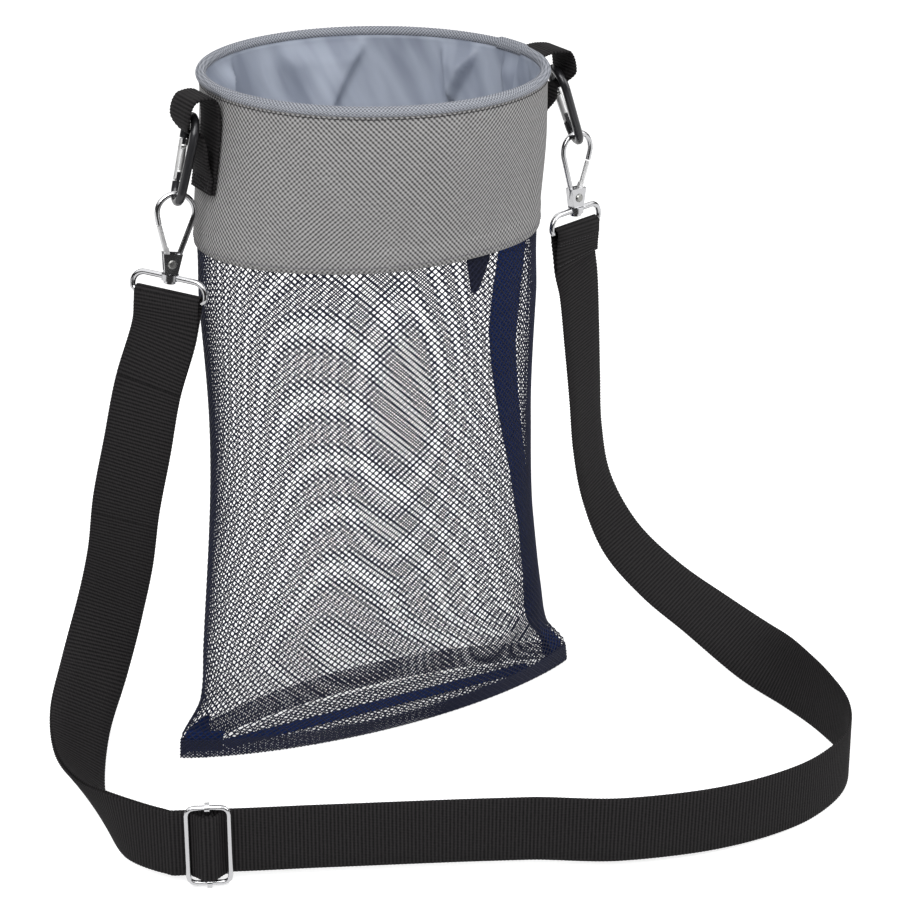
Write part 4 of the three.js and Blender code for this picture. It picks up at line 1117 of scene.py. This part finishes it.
    def base(self) -> bpy.types.Object:
        """The net across the flat foot, cut to its outline."""
        half, deep = self.shape.lengths[0], self.shape.depths[0]
        pinch = 1 + self.shape.pinches[0]
        yarns = []
        for lean in (-1, 1):
            for c in np.arange(-half - deep, half + deep, self.hole_mm):
                y = np.arange(-deep, deep, self.hole_mm)
                x = c + lean * y
                room = deep * np.clip(1 - (x / half) ** 2, 0, 1) ** (pinch / 2)
                inside = np.abs(y) < room
                if inside.sum() > 1:
                    z = np.full_like(x, self.foot_mm + self.cross_mm[1] * lean)
                    line = np.stack([x, y, z], 1)[inside]
                    yarns.append(tube(line, UP, self.yarn_mm / 2, 4))
        return show("net_foot", joined(yarns), Cloth.NET)

    def upright(self, heights: Array, middles: Array, width: float) -> Patch:
        """A tape that runs up the inside of the net.

        Args:
            heights: levels from its lower end up.
            middles: the place of its middle at each level, in millimetres round the bag from +X.
            width: its width.

        Returns:
            The tape's surface.
        """
        rings = []
        for z, middle in zip(heights.tolist(), middles.tolist()):
            places = (middle + np.linspace(-width / 2, width / 2, 9)) / self.shape.girth(z)
            outer = self.shape.even(z, self.tape_inset_mm, places)
            inner = self.shape.even(z, self.tape_inset_mm + self.tape_thick_mm, places[::-1])
            rings.append(np.concatenate([outer, inner]))
        across = np.linspace(0, width, 9)
        return sweep(np.stack(rings), heights, np.concatenate([across, across[::-1], across[:1]]))

    def side_tape(self) -> bpy.types.Object:
        """The wide tape over the seam inside the right side."""
        heights = np.linspace(self.foot_mm + self.tape_foot_mm, self.hem_mm - self.tape_top_mm, 190)
        wander = np.interp(heights, self.tape_heights_mm, self.tape_drifts_mm)
        drift = wander + np.sin(heights / self.tape_wave_mm)
        patch = self.upright(heights, drift, self.tape_mm)
        return show("side_seam_tape_cloth", patch, Cloth.TAPE, "side_seam_tape")

    def ear_fold(self) -> bpy.types.Object:
        """The net's folded edge inside the left ear, which is too dense to see through."""
        length, top = self.ear_fold_mm
        heights = np.linspace(self.foot_mm + self.tape_foot_mm, top, 24)
        middles = np.array([self.shape.girth(z) / 2 for z in heights.tolist()])
        return show("left_ear_fold", self.upright(heights, middles, length), Cloth.TAPE)

    def hanging(self, degrees: float, drop: float, width: float | Array) -> Patch:
        """A flat end that hangs free inside the hem.

        Args:
            degrees: where it hangs, by angle from +X.
            drop: how far it hangs down.
            width: its width, one value or one for each point down it.

        Returns:
            The end's surface.
        """
        inset, above, swing = self.hang_mm
        top, beside = self.shape.ring(self.hem_mm + above, inset, np.radians([degrees, degrees + 3]))
        across = unit(beside - top)
        inward = np.cross(UP, across)
        t = np.linspace(0, 1, self.hang_points)[:, None]
        line = top + inward * swing * t**2 + np.array([0, 0, -drop]) * t
        return band(line, across, width, self.tape_thick_mm)

    def loose_end(self) -> bpy.types.Object:
        """The end of the seam tape that hangs free below the hem."""
        patch = self.hanging(self.loose_degrees, self.loose_drop_mm, self.narrow_tape_mm)
        return show("loose_tape_cloth", patch, Cloth.TAPE, "loose_tape_end")

    def seam_flap(self) -> bpy.types.Object:
        """The corner of the net's gathered seam allowance, which shows through the net below the hem."""
        width = np.interp(np.linspace(0, 1, self.hang_points), self.flap_shares, self.flap_widths_mm)
        return show("net_seam_flap", self.hanging(self.flap_degrees, self.flap_drop_mm, width), Cloth.NET)

    def bottom_tape(self) -> bpy.types.Object:
        """The tape along the bottom seam, inside."""
        low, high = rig.box("bottom_seam_tape")
        x = np.linspace(low[0], high[0], 420) / MM
        middle = np.stack([x, np.zeros_like(x), np.full_like(x, (low[2] + high[2]) / 2 / MM)], 1)
        patch = band(middle, BACK, self.narrow_tape_mm, self.tape_thick_mm)
        return show("bottom_tape_cloth", patch, Cloth.TAPE, "bottom_seam_tape")


@dataclass
class Tab:
    """A webbing tab: up the collar, over the clip's rod and back down to a doubled, stitched tail."""

    shape: BagShape
    side: Side
    # Height of the sewn join, the clip's pivot, the loop's reach beyond it and the loop's crest
    join_mm: float
    reach_mm: float
    loop_mm: float
    crest_mm: float
    # The outer layer below the loop: how far out at what heights, between the loop and the sewn join
    flap_mm: tuple[Span, ...]
    width_mm: float = 25.0
    thick_mm: float = 1.6
    bight_mm: float = 10.6
    low_mm: float = 331.0
    turn_mm: float = 368.0
    pivot_mm: float = 371.0
    sag_mm: float = 8.6
    # As the webbing leaves the collar: shares of the way out to the pivot and of the way up to the crest
    leaving: tuple[Span, ...] = ((0.03, 0.5), (0.2, 0.87), (0.6, 1.0))
    # The loop's angles from its crest to below the rod, with their step, and where it narrows to the bight
    loop_degrees: tuple[int, int, int] = (66, -103, -8)
    taper_degrees: Span = (-55.0, 6.0)
    # Distance from the clip's pivot, inward and outward, over which the loop goes over to the clip's swing
    give_mm: Span = (4.0, 2.5)
    fit_mm: float = 0.3
    # Height and pitch of the ribs, and the step at which the band is drawn
    ribs_mm: Span = (0.14, 1.7)
    step_mm: float = 0.42
    # The box of stitches: its margins to the join, the end and the edges, then pitch, length and thread radius
    margins_mm: Place = (0.5, 2.0, 3.0)
    stitch_mm: Place = (2.6, 2.0, 0.22)

    def build(self) -> None:
        """Makes the tab and the box of stitches on its tail."""
        label = self.side.label
        line, width = self.line()
        cloth = band(line, BACK, width, self.thick_mm, *self.ribs_mm)
        piece = show(f"{label}_tab_cloth", cloth, Cloth.WEBBING, f"{label}_tab_webbing")
        sewn = show(f"{label}_tab_stitches", self.sewing(), Cloth.WEBBING, finish=THREAD_BLACK)
        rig.ride(sewn, "bag")
        start, end = ((self.side.value * (self.reach_mm + off) * MM, 0, self.pivot_mm * MM)
                      for off in (-self.give_mm[0], self.give_mm[1]))
        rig.blend(piece, "bag", f"{label}_clip", start=start, end=end)

    def collar_face(self, z: float) -> float:
        """How far out the tab's inner layer lies at a height."""
        lean = self.side.value * self.shape.at(self.shape.shifts, z)
        return self.shape.at(self.shape.lengths, z) + lean + self.fit_mm + self.thick_mm / 2

    def line(self) -> tuple[Array, Array]:
        """The tab's middle line and its width along it, evenly spaced."""
        layer, inner = self.thick_mm + self.fit_mm, self.collar_face(self.turn_mm)
        path = [(self.collar_face(z), z, self.width_mm) for z in np.linspace(self.low_mm, self.turn_mm, 9)]
        gap, lift = self.reach_mm - inner, self.crest_mm - self.turn_mm
        path += [(inner + gap * out, self.turn_mm + lift * rise, self.width_mm) for out, rise in self.leaving]
        for degrees in np.arange(*self.loop_degrees):
            a, spread = math.radians(degrees), float(smoothstep(degrees, *self.taper_degrees))
            tall = self.crest_mm - self.pivot_mm if degrees > 0 else self.sag_mm
            path.append((self.reach_mm + self.loop_mm * math.cos(a), self.pivot_mm + tall * math.sin(a),
                         self.bight_mm + (self.width_mm - self.bight_mm) * spread))
        path += [(out, z, self.width_mm) for out, z in self.flap_mm]
        for z in np.linspace(self.join_mm, self.low_mm, 5):
            path.append((self.collar_face(z) + layer, z, self.width_mm))
        raw = spline(np.array([(self.side.value * x, 0, z, w) for x, z, w in path]), 8, True)
        gone = travelled(raw[:, :3])
        even = np.arange(0, gone[-1], self.step_mm)
        out = np.stack([np.interp(even, gone, raw[:, i]) for i in range(4)], 1)
        return out[:, :3], out[:, 3]

    def sewing(self) -> Patch:
        """A box of stitches on the tail's outer face."""
        over, under, beside = self.margins_mm
        high, low, half = self.join_mm - over, self.low_mm + under, self.width_mm / 2 - beside
        corners = [(-half, low), (half, low), (half, high), (-half, high), (-half, low), (half, high)]
        rows = []
        for (y0, z0), (y1, z1) in zip(corners, corners[1:]):
            t = np.linspace(0, 1, 30)
            z = z0 + (z1 - z0) * t
            x = np.array([self.collar_face(v) for v in z]) + self.thick_mm * 1.5 + self.fit_mm
            line = np.stack([self.side.value * x, y0 + (y1 - y0) * t, z], 1)
            rows.append(stitches(line, np.array([float(self.side.value), 0, 0]), *self.stitch_mm))
        return joined(rows)


# The strap's route from the right ring to the left one: middle of the webbing, then its upper edge's way
STRAP_ROUTE: list[tuple[Place, Place]] = [
    ((132, 1, 243), (0.91, 0.39, 0.12)), ((137, 4, 209), (0.88, 0.44, 0.15)),
    ((141, 6, 175), (0.86, 0.5, 0.14)), ((145, 8, 141), (0.84, 0.53, 0.14)),
    ((152, 7, 107), (0.84, 0.53, 0.13)), ((163, -5, 76), (0.89, 0.41, 0.2)),
    ((178, -27, 54), (0.9, 0.32, 0.29)), ((193, -54, 39), (0.88, 0.25, 0.4)),
    ((206, -83, 26), (0.74, 0.15, 0.65)), ((212, -116, 21), (0.35, 0, 0.94)),
    ((210, -151, 20), (0.12, 0, 1)), ((201, -184, 20), (0, 0, 1)),
    ((180, -211, 20), (0, 0, 1)), ((148, -227, 20), (0, 0, 1)),
    ((115, -233, 21), (0, 0, 1)), ((80, -232, 22), (0, 0, 1)),
    ((46, -225, 23), (0, 0, 1)), ((13, -214, 24), (0, 0, 1)),
    ((-51, -186, 25), (0, 0, 1)), ((-113, -158, 25), (0, 0, 1)),
    ((-168, -133, 25.2), (0, 0, 1)), ((-184, -125.5, 25.2), (0, 0, 1)),
    ((-199, -98, 24.6), (-0.06, 0, 1)), ((-203, -64, 21.5), (-0.4, -0.08, 0.91)),
    ((-199, -29, 25), (-0.68, -0.04, 0.73)), ((-187, 0, 39), (-0.83, 0.12, 0.55)),
    ((-170, 18, 61), (-0.84, 0.36, 0.4)), ((-158, 21, 92), (-0.74, 0.62, 0.25)),
    ((-152, 15, 125), (-0.72, 0.65, 0.23)), ((-149, 9, 159), (-0.74, 0.63, 0.22)),
    ((-143, 4, 193), (-0.72, 0.66, 0.2)), ((-136, 2, 226), (-0.67, 0.72, 0.17)),
]


@dataclass(frozen=True)
class Bar:
    """The straight bar of a strap ring: its middle, its own way and the way up to the swivel."""

    middle: Place
    along: Place
    up: Place

    def parts(self) -> Array:
        """The middle and the two ways as rows of numbers."""
        return np.array([self.middle, self.along, self.up], float)


@dataclass
class Strap:
    """The shoulder strap: ribbed webbing from ring to ring, in pieces that follow the joints they cross.

    The end that is looped back from the left ring to the slider lies in front, and the running layer
    behind it passes on behind the slider's bars.
    """

    width_mm: float = 38.0
    thick_mm: float = 1.6
    rib_mm: float = 0.16
    pitch_mm: float = 2.0
    step_mm: float = 0.5
    pitch_of_layers_mm: float = 1.9
    ring_fold_mm: float = 2.7
    bar_fold_mm: float = 2.4
    behind_bar_mm: float = 2.5
    over_bar_mm: float = 4.3
    spare_mm: float = 0.7
    tail_mm: float = 36.0
    sewn_mm: float = 20.0
    sewn_rows_mm: tuple[float, ...] = (6.0, 7.6, 17.5)
    head_mm: float = 50.0
    neck_mm: float = 130.0
    lift_mm: float = 330.0
    riser_mm: float = 400.0
    travel_mm: float = 165.0
    # Where the ring's turn starts to give way to the hook's
    ring_end_mm: float = 4.0
    # Along the strap from the slider's middle: the lead of the wrapped end, the slider's end, the link's end
    lead_mm: float = 10.0
    slider_end_mm: float = 12.0
    link_end_mm: float = 22.0
    # Distances from the slider over which the layers leave its straight line, its bars and the spare room
    straight_mm: Span = (15.0, 24.4)
    settle_mm: Span = (13.6, 60.0)
    spare_from_mm: Span = (15.0, 60.0)
    near_slider_mm: float = 40.0
    ease_mm: float = 50.0
    wrap_degrees: Span = (70.0, 330.0)
    # The hump over the middle bar: half its length, where it rises, its left end's step, its right end's play
    hump_mm: float = 9.1
    hump_rise_mm: Span = (1.3, 9.4)
    hump_step_mm: float = 1.2
    hump_play_mm: float = 0.06
    stitch_mm: Place = (2.4, 1.9, 0.26)
    slider_point: int = 20
    # Half the length of a row of stitches, as a share of the width
    row_share: float = 0.46
    right: Bar = Bar((128.41, 0, 277.33), (0.9397, 0.342, 0), (0, 0, 1))
    left: Bar = Bar((-123.01, 0, 276.44), (0.6497, -0.7547, -0.0913), (0.1392, 0, 0.9903))

    def __post_init__(self) -> None:
        """Samples the route and finds the slider on it."""
        steps = 60
        right, left = ((middle, along, middle - up * self.tail_mm / 2)
                       for middle, along, up in (self.right.parts(), self.left.parts()))
        route, ways = np.swapaxes(np.array(STRAP_ROUTE, float), 0, 1)
        points = np.concatenate([[right[0], right[2]], route, [left[2], left[0]]])
        edges = np.concatenate([[right[1]] * 2, ways, [-left[1]] * 2])
        self.middle = spline(points, steps, True)
        self.edge = spline(edges, steps, False)
        self.gone = travelled(self.middle)
        self.length = float(self.gone[-1])
        self.slider = float(self.gone[(self.slider_point + 2) * steps])

    def frame_at(self, places: Array) -> tuple[Array, Array, Array, Array]:
        """Middle, way along, way to the edge and way out of the face at distances along the route."""
        def pick(values: Array) -> Array:
            """The route's values at the places."""
            return np.stack([np.interp(places, self.gone, values[:, i]) for i in range(3)], 1)
        at, loose = pick(self.middle), pick(self.edge)
        along = unit(pick(np.gradient(self.middle, self.gone, axis=0)))
        across = unit(loose - along * np.sum(loose * along, 1, keepdims=True))
        return at, along, across, np.cross(along, across)

    def layer(self, places: Array, offset: Array) -> tuple[Array, Array]:
        """A layer beside the route: its middle line and its edge ways; it is straight through the slider."""
        at, _, across, face = self.frame_at(places)
        centre, along, wide, out = (v[0] for v in self.frame_at(np.array([self.slider])))
        reach = (at - centre) @ along
        straight = centre + along * reach[:, None] + out * offset[:, None]
        near = np.abs(places - self.slider) < self.near_slider_mm
        free = np.where(near, smoothstep(np.abs(reach), *self.straight_mm), 1.0)[:, None]
        line = straight * (1 - free) + (at + face * offset[:, None]) * free
        return line, unit(wide * (1 - free) + across * free)

    def point(self, place: float) -> Place:
        """A place on the route in metres."""
        at = self.frame_at(np.array([place]))[0][0] * MM
        return (float(at[0]), float(at[1]), float(at[2]))

    def places(self, low: float, high: float) -> Array:
        """Even distances along the route, with both ends."""
        return np.linspace(low, high, max(int(abs(high - low) / self.step_mm), 2) + 1)

    def settle(self, places: Array) -> Array:
        """How far behind the slider's line the layers lie, near the slider's left."""
        return self.behind_bar_mm * (1 - smoothstep(np.abs(places - self.slider), *self.settle_mm))

    def spread(self, away: Array) -> Array:
        """1 at a ring, falling to 0 as far away from it as the layers lie on each other."""
        return 1 - smoothstep(away, 0, self.tail_mm / 2)

    def front(self, places: Array) -> Array:
        """Offset of the layer that the camera sees between the left ring and the slider."""
        return self.settle(places) - self.ring_fold_mm * self.spread(self.length - places)

    def back(self, places: Array) -> Array:
        """Offset of the layer behind it, which leaves its ring like the sewn tail."""
        return self.settle(places) + self.sewn(self.length - places)

    def run(self, places: Array) -> Array:
        """Offset of the running layer right of the slider: behind its bars as far as it can travel."""
        behind = self.behind_bar_mm + self.pitch_of_layers_mm
        spare = self.spare_mm * smoothstep(self.slider - places, *self.spare_from_mm)
        limit = self.slider - self.travel_mm
        return (behind + spare) * smoothstep(places, limit - self.ease_mm, limit)

    def start(self, places: Array) -> Array:
        """Offset of the running layer below the right ring."""
        return -self.ring_fold_mm * self.spread(places)

    def sewn(self, places: Array) -> Array:
        """Offset of the tail that is sewn down below the right ring."""
        return self.pitch_of_layers_mm + (self.ring_fold_mm - self.pitch_of_layers_mm) * self.spread(places)

    def head_stitches(self) -> bpy.types.Object:
        """The rows of thread across the sewn tail."""
        rows = []
        for place in np.array(self.sewn_rows_mm)[:, None]:
            at, _, across, face = self.frame_at(place)
            reach = np.linspace(-self.row_share, self.row_share, 40)[:, None] * self.width_mm
            line = at + face * (self.sewn(place) + self.thick_mm / 2) + across * reach
            rows.append(stitches(line, face, *self.stitch_mm))
        return show("right_strap_stitches", joined(rows), Cloth.WEBBING, finish=THREAD_BLACK)

    def woven(self, line: Array, across: Array, first: float) -> Patch:
        """Webbing along a line, with ribs in step with its place along the strap."""
        return band(line, across, self.width_mm, self.thick_mm, self.rib_mm, self.pitch_mm, first)

    def over(self, bar: Bar, sign: int, first: float, last: float) -> tuple[Array, Array]:
        """Half a turn over a ring's bar, between two angles in degrees from the band's face.

        Args:
            bar: the ring's bar.
            sign: 1 where the band's edge way is the bar's own way, -1 where it is the other way.
            first: angle where the turn starts.
            last: angle where it ends.

        Returns:
            The turn's middle line and its edge ways.
        """
        middle, along, up = bar.parts()
        angles = np.radians(np.linspace(first, last, 20))[:, None]
        turn = middle + self.ring_fold_mm * (np.cos(angles) * np.cross(along, up) + np.sin(angles) * up)
        return turn, np.tile(sign * along, (20, 1))

    def piece(self, name: str, patch: Patch, node: str | None = None) -> bpy.types.Object:
        """One webbing piece, in place of a CAD node if one is named."""
        return show(name, patch, Cloth.WEBBING, node)

    def build(self) -> None:
        """Makes every piece of the strap and says what moves it."""
        end, both = self.length, [self.front, self.back]
        heads, sewing = [self.right_head(), self.left_head()], self.head_stitches()
        necks = [self.piece("right_strap_neck", self.layers(self.head_mm, self.neck_mm, [self.start])),
                 self.piece("left_strap_neck", self.layers(end - self.neck_mm, end - self.head_mm, both))]
        low = self.slider + self.slider_end_mm
        risers = [self.piece("right_strap_riser", self.layers(self.neck_mm, self.riser_mm, [self.start])),
                  self.piece("left_strap_riser", self.layers(low, end - self.neck_mm, both))]
        run = self.piece("strap_floor_run", self.floor_run(), "shoulder_strap")
        loop = self.piece("strap_slider_loop", self.slider_loop())
        link = self.piece("strap_slider_link", self.link())
        ways = {"right": self.point, "left": lambda place: self.point(end - place)}
        for (side, at), head, neck, riser in zip(ways.items(), heads, necks, risers):
            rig.blend(head, f"{side}_ring", f"{side}_hook", start=at(self.ring_end_mm), end=at(self.head_mm))
            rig.blend(neck, f"{side}_hook", f"{side}_clip", start=at(self.head_mm), end=at(self.neck_mm))
            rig.blend(riser, f"{side}_clip", "bag", start=at(self.neck_mm), end=at(self.lift_mm))
        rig.blend(sewing, "right_ring", "right_hook", start=self.point(self.ring_end_mm),
                 end=self.point(self.head_mm))
        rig.ride(run, "bag")
        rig.ride(loop, "slider")
        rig.blend(link, "slider", "bag", start=self.point(self.slider + self.lead_mm),
                 end=self.point(self.slider + self.link_end_mm))
        self.declare((run, [loop, link]), *((riser, list(pair)) for riser, *pair in zip(risers, heads, necks)))

    def layers(self, low: float, high: float, offsets: Sequence[Callable[[Array], Array]]) -> Patch:
        """Layers of the strap between two distances along it."""
        places = self.places(low, high)
        return joined([self.woven(*self.layer(places, offset(places)), low) for offset in offsets])

    def right_head(self) -> bpy.types.Object:
        """The fold over the right ring's bar, with its sewn tail in front."""
        tail = self.places(self.sewn_mm, 2 * self.ring_fold_mm)
        outer = self.layer(tail, self.sewn(tail))
        turn = self.over(self.right, 1, 0, 180)
        main = self.places(2 * self.ring_fold_mm, self.head_mm)
        inner = self.layer(main, self.start(main))
        line, across = (np.concatenate(parts) for parts in zip(outer, turn, inner))
        return self.piece("right_strap_head", self.woven(line, across, self.head_mm - travelled(line)[-1]))

    def left_head(self) -> bpy.types.Object:
        """The fold over the left ring's bar, where the strap turns back to the slider."""
        low, high = self.length - self.head_mm, self.length - 2 * self.ring_fold_mm
        there, back = self.places(low, high), self.places(high, low)
        parts = [self.layer(there, self.front(there)), self.over(self.left, -1, 180, 0),
                 self.layer(back, self.back(back))]
        line, across = (np.concatenate(each) for each in zip(*parts))
        return self.piece("left_strap_head", self.woven(line, across, low))

    def floor_run(self) -> Patch:
        """The strap along the floor, from the right turn to behind the slider."""
        places = self.places(self.riser_mm, self.slider + self.slider_end_mm)
        return self.woven(*self.layer(places, self.run(places)), self.riser_mm)

    def slider_loop(self) -> Patch:
        """The end wrapped round the slider's middle bar, and the running layer's hump in front of it."""
        centre, along, wide, out = (v[0] for v in self.frame_at(np.array([self.slider])))
        angles = np.radians(np.linspace(*self.wrap_degrees, 40))[:, None]
        wrap = centre + self.bar_fold_mm * (np.cos(angles) * along + np.sin(angles) * out)
        lead = centre + along * self.lead_mm + out * self.behind_bar_mm
        t = np.linspace(0, 1, 16)[:, None]
        line = np.concatenate([lead + (wrap[0] - lead) * t, wrap[1:]])
        reach = np.linspace(-self.hump_mm, self.hump_mm, 60)
        rise = smoothstep(np.abs(reach), *self.hump_rise_mm)
        right_end = self.behind_bar_mm + self.pitch_of_layers_mm - self.thick_mm - self.hump_play_mm
        deep = np.where(reach < 0, right_end, self.behind_bar_mm - self.hump_step_mm)
        depth = -self.over_bar_mm + (self.over_bar_mm + deep) * rise
        hump = centre + along * reach[:, None] + out * depth[:, None]
        return joined([self.woven(each, wide, 0) for each in (line, hump)])

    def link(self) -> Patch:
        """The short stretch of the end between the slider and the left riser."""
        places = self.places(self.slider + self.lead_mm, self.slider + self.slider_end_mm)
        return self.woven(*self.layer(places, self.front(places)), float(places[0]))

    def declare(self, *cords: tuple[bpy.types.Object, list[bpy.types.Object]]) -> None:
        """States the lengths of the run along the floor, the right riser and the left riser.

        Args:
            cords: each of the three with the short pieces that go on from it.
        """
        low = self.slider + self.slider_end_mm
        spans = [(low, self.riser_mm), (self.riser_mm, self.neck_mm), (low, self.length - self.neck_mm)]
        for (piece, others), (first, last) in zip(cords, spans):
            path = [self.point(float(d)) for d in np.linspace(first, last, 60)]
            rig.cord(piece, exit=path[0], length=abs(last - first) * MM, diameter=self.width_mm * MM,
                    far_end="object", stiffness="limp", lay="loose", path=path, with_pieces=others)


@dataclass
class Fittings:
    """The metal fittings, which keep their CAD shapes: finishes, and edges shaded round or crisp."""

    crease_degrees: float = 38.0
    # Distance within which the facets' corners are one
    weld_mm: float = 0.002
    # The nodes of each side, by their metal
    finishes: dict[Metal, tuple[str, ...]] = field(default_factory=lambda: {
        Metal.ANODISED: ("carabiner_body",),
        Metal.NICKEL: ("carabiner_gate", "hook_body", "hook_gate", "strap_ring"),
        Metal.PIN: ("carabiner_hinge_pin", "carabiner_nose_pin", "hook_rivet"),
    })

    def build(self) -> None:
        """Dresses every metal node."""
        shading = self.shading()
        names = {f"{side.label}_{node}": metal for side in Side
                 for metal, nodes in self.finishes.items() for node in nodes}
        names |= {"slider_frame": Metal.NICKEL, "slider_bar": Metal.NICKEL, "rim_hoop": Metal.WIRE}
        for name, metal in names.items():
            node = frame["nodes"][name]
            node.data.materials.clear()
            # The gates take the nickel that is painted lighter: painted light
            finish = LIGHTER_GATE_METAL if name.endswith("_gate") else FINISHES[metal]
            node.data.materials.append(finish.material())
            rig.slot(node, metal.value)
            node.modifiers.new("crisp_edges", "NODES").node_group = shading
            LOG.info("%s: %s", name, finish.title)

    def shading(self) -> bpy.types.NodeTree:
        """Joins the facets' shared corners, then shades every edge smooth but the sharp ones."""
        tree = bpy.data.node_groups.new("shade_by_angle", "GeometryNodeTree")
        tree.interface.new_socket("Geometry", in_out="INPUT", socket_type="NodeSocketGeometry")
        tree.interface.new_socket("Geometry", in_out="OUTPUT", socket_type="NodeSocketGeometry")
        nodes = Nodes(tree)
        source = nodes.add("NodeGroupInput")
        near = {"Distance": self.weld_mm * MM}
        weld = nodes.add("GeometryNodeMergeByDistance", near, {"Geometry": (source, 0)})
        faces = nodes.add("GeometryNodeSetShadeSmooth", {"domain": "FACE"}, {"Geometry": (weld, 0)})
        angle = nodes.add("GeometryNodeInputMeshEdgeAngle")
        crease = math.radians(self.crease_degrees)
        soft = nodes.add("FunctionNodeCompare", {"operation": "LESS_THAN", 1: crease}, {0: (angle, 0)})
        edges = nodes.add("GeometryNodeSetShadeSmooth", {"domain": "EDGE"},
                          {"Geometry": (faces, 0), "Shade Smooth": (soft, 0)})
        nodes.add("NodeGroupOutput", {}, {0: (edges, 0)})
        return tree


@dataclass
class Studio:
    """A pale floor, soft studio light and the camera."""

    camera_m: Place = (-0.5881, -1.1586, 0.6945)
    aim: Place = (0.4448, 0.8120, -0.3779)
    lit_m: Place = (0, 0, 0.2)
    lens_mm: float = 98.92
    sensor_mm: float = 36.0
    floor_m: float = 14.0
    floor_colour: str = "f6f6f6"
    # The sky's light, low and high, and between which heights it changes
    sky: Span = (0.294, 0.546)
    sky_from: Span = (-0.1, 0.8)
    # The soft lights: place, size and watts
    key: tuple[Place, float, float] = ((-0.9, -1.0, 1.6), 1.3, 24.0)
    fill: tuple[Place, float, float] = ((1.3, -0.9, 1.0), 1.2, 11.0)
    floor_glow: float = 0.6
    # What bright metal mirrors: a dark room, its ceiling, and a floor that is pale right of and near the bag
    room_light: Span = (0.015, 1.2)
    ceiling_from: Span = (0.3, 0.5)
    floor_light: Span = (0.04, 0.95)
    pale_right_m: Span = (0.1, 0.55)
    pale_near_m: Span = (-0.55, -0.4)

    def build(self) -> None:
        """Makes the camera, the lights, the world and the floor."""
        scene = bpy.context.scene
        scene.view_settings.view_transform = "Standard"
        data = bpy.data.cameras.new("studio_camera")
        data.lens, data.sensor_width = self.lens_mm, self.sensor_mm
        camera = placed("studio_camera", data)
        camera.location = self.camera_m
        camera.rotation_euler = Vector(self.aim).to_track_quat("-Z", "Y").to_euler()
        scene.camera = camera
        self.lamp("key_light", *self.key)
        self.lamp("fill_light", *self.fill)
        self.world()
        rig.stage(self.floor())

    def lamp(self, name: str, place: Place, size: float, watts: float) -> None:
        """A square soft light that faces the bag's middle."""
        data = bpy.data.lights.new(name, "AREA")
        data.energy, data.size = watts, size
        lamp = placed(name, data)
        lamp.location = place
        lamp.rotation_euler = (Vector(self.lit_m) - Vector(place)).to_track_quat("-Z", "Y").to_euler()
        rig.stage(lamp)

    def world(self) -> None:
        """An even sky, brighter overhead; the camera sees white, and metal mirrors a dark room."""
        world = bpy.data.worlds.new("studio_sky")
        world.use_nodes = True
        bpy.context.scene.world = world
        nodes = Nodes(world.node_tree)
        height = nodes.parts((nodes.add("ShaderNodeTexCoord"), "Generated"))[2]
        soft = nodes.ranged(height, self.sky_from, self.sky)
        studio = nodes.ranged(height, self.ceiling_from, self.room_light, True)
        path = nodes.add("ShaderNodeLightPath")
        level = nodes.add("ShaderNodeMix", {"data_type": "FLOAT"},
                          {0: (path, "Is Glossy Ray"), 2: soft, 3: studio})
        white = nodes.add("ShaderNodeMix", {"data_type": "FLOAT", 3: 1.0},
                          {0: (path, "Is Camera Ray"), 2: (level, 0)})
        nodes.give(nodes.tree.nodes["Background"], {"Color": (1, 1, 1, 1)}, {"Strength": (white, 0)})

    def floor(self) -> bpy.types.Object:
        """A matt white floor that keeps the bag's shadow."""
        half = self.floor_m / 2
        mesh = bpy.data.meshes.new("studio_floor")
        corners = [(-half, -half, 0), (half, -half, 0), (half, half, 0), (-half, half, 0)]
        mesh.from_pydata(corners, [], [(0, 1, 2, 3)])
        paint, nodes, shader = blank("studio_floor_matt_paint")
        path = nodes.add("ShaderNodeLightPath")
        glow = nodes.calc("MULTIPLY", (path, "Is Camera Ray"), self.floor_glow)
        matt = {"Base Color": linear(self.floor_colour), "Roughness": 1.0, "Specular IOR Level": 0.0}
        nodes.give(shader, {**matt, "Emission Color": (1, 1, 1, 1)}, {"Emission Strength": glow})
        x, y, _ = nodes.parts((nodes.add("ShaderNodeTexCoord"), "Object"))
        right = nodes.ranged(x, self.pale_right_m, self.floor_light, True)
        near = nodes.ranged(y, self.pale_near_m, self.floor_light, True)
        mirrored = nodes.add("ShaderNodeEmission", {}, {"Strength": nodes.calc("MAXIMUM", right, near)})
        mixed = nodes.add("ShaderNodeMixShader", {},
                          {0: (path, "Is Glossy Ray"), 1: (shader, "BSDF"), 2: (mirrored, 0)})
        nodes.give(nodes.tree.nodes["Material Output"], {}, {"Surface": (mixed, 0)})
        mesh.materials.append(paint)
        return placed("studio_floor", mesh)


def plain(box: object) -> list:
    """A box as plain nested lists of numbers."""
    return [[float(v) for v in corner] for corner in box]


def main() -> None:
    """Builds the bag piece by piece in its studio, and writes the sizes before and after."""
    logging.basicConfig(level=logging.INFO, format="%(name)s %(message)s")
    shape = BagShape()
    Studio().build()
    Strap().build()
    Collar(shape).build()
    NetBag(shape).build()
    Tab(shape, Side.LEFT, 339.0, 104.95, 7.2, 382.4, ((103.2, 356.5), (102.6, 348.0))).build()
    Tab(shape, Side.RIGHT, 345.0, 112.95, 6.4, 383.6, ((106.5, 357.5), (99.5, 350.5))).build()
    Fittings().build()
    with open(SIZE_FILE, "w", encoding="utf-8") as out:
        json.dump({"cad": plain(cad_box), "visual": plain(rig.bounds())}, out)


if __name__ == "__main__":
    main()
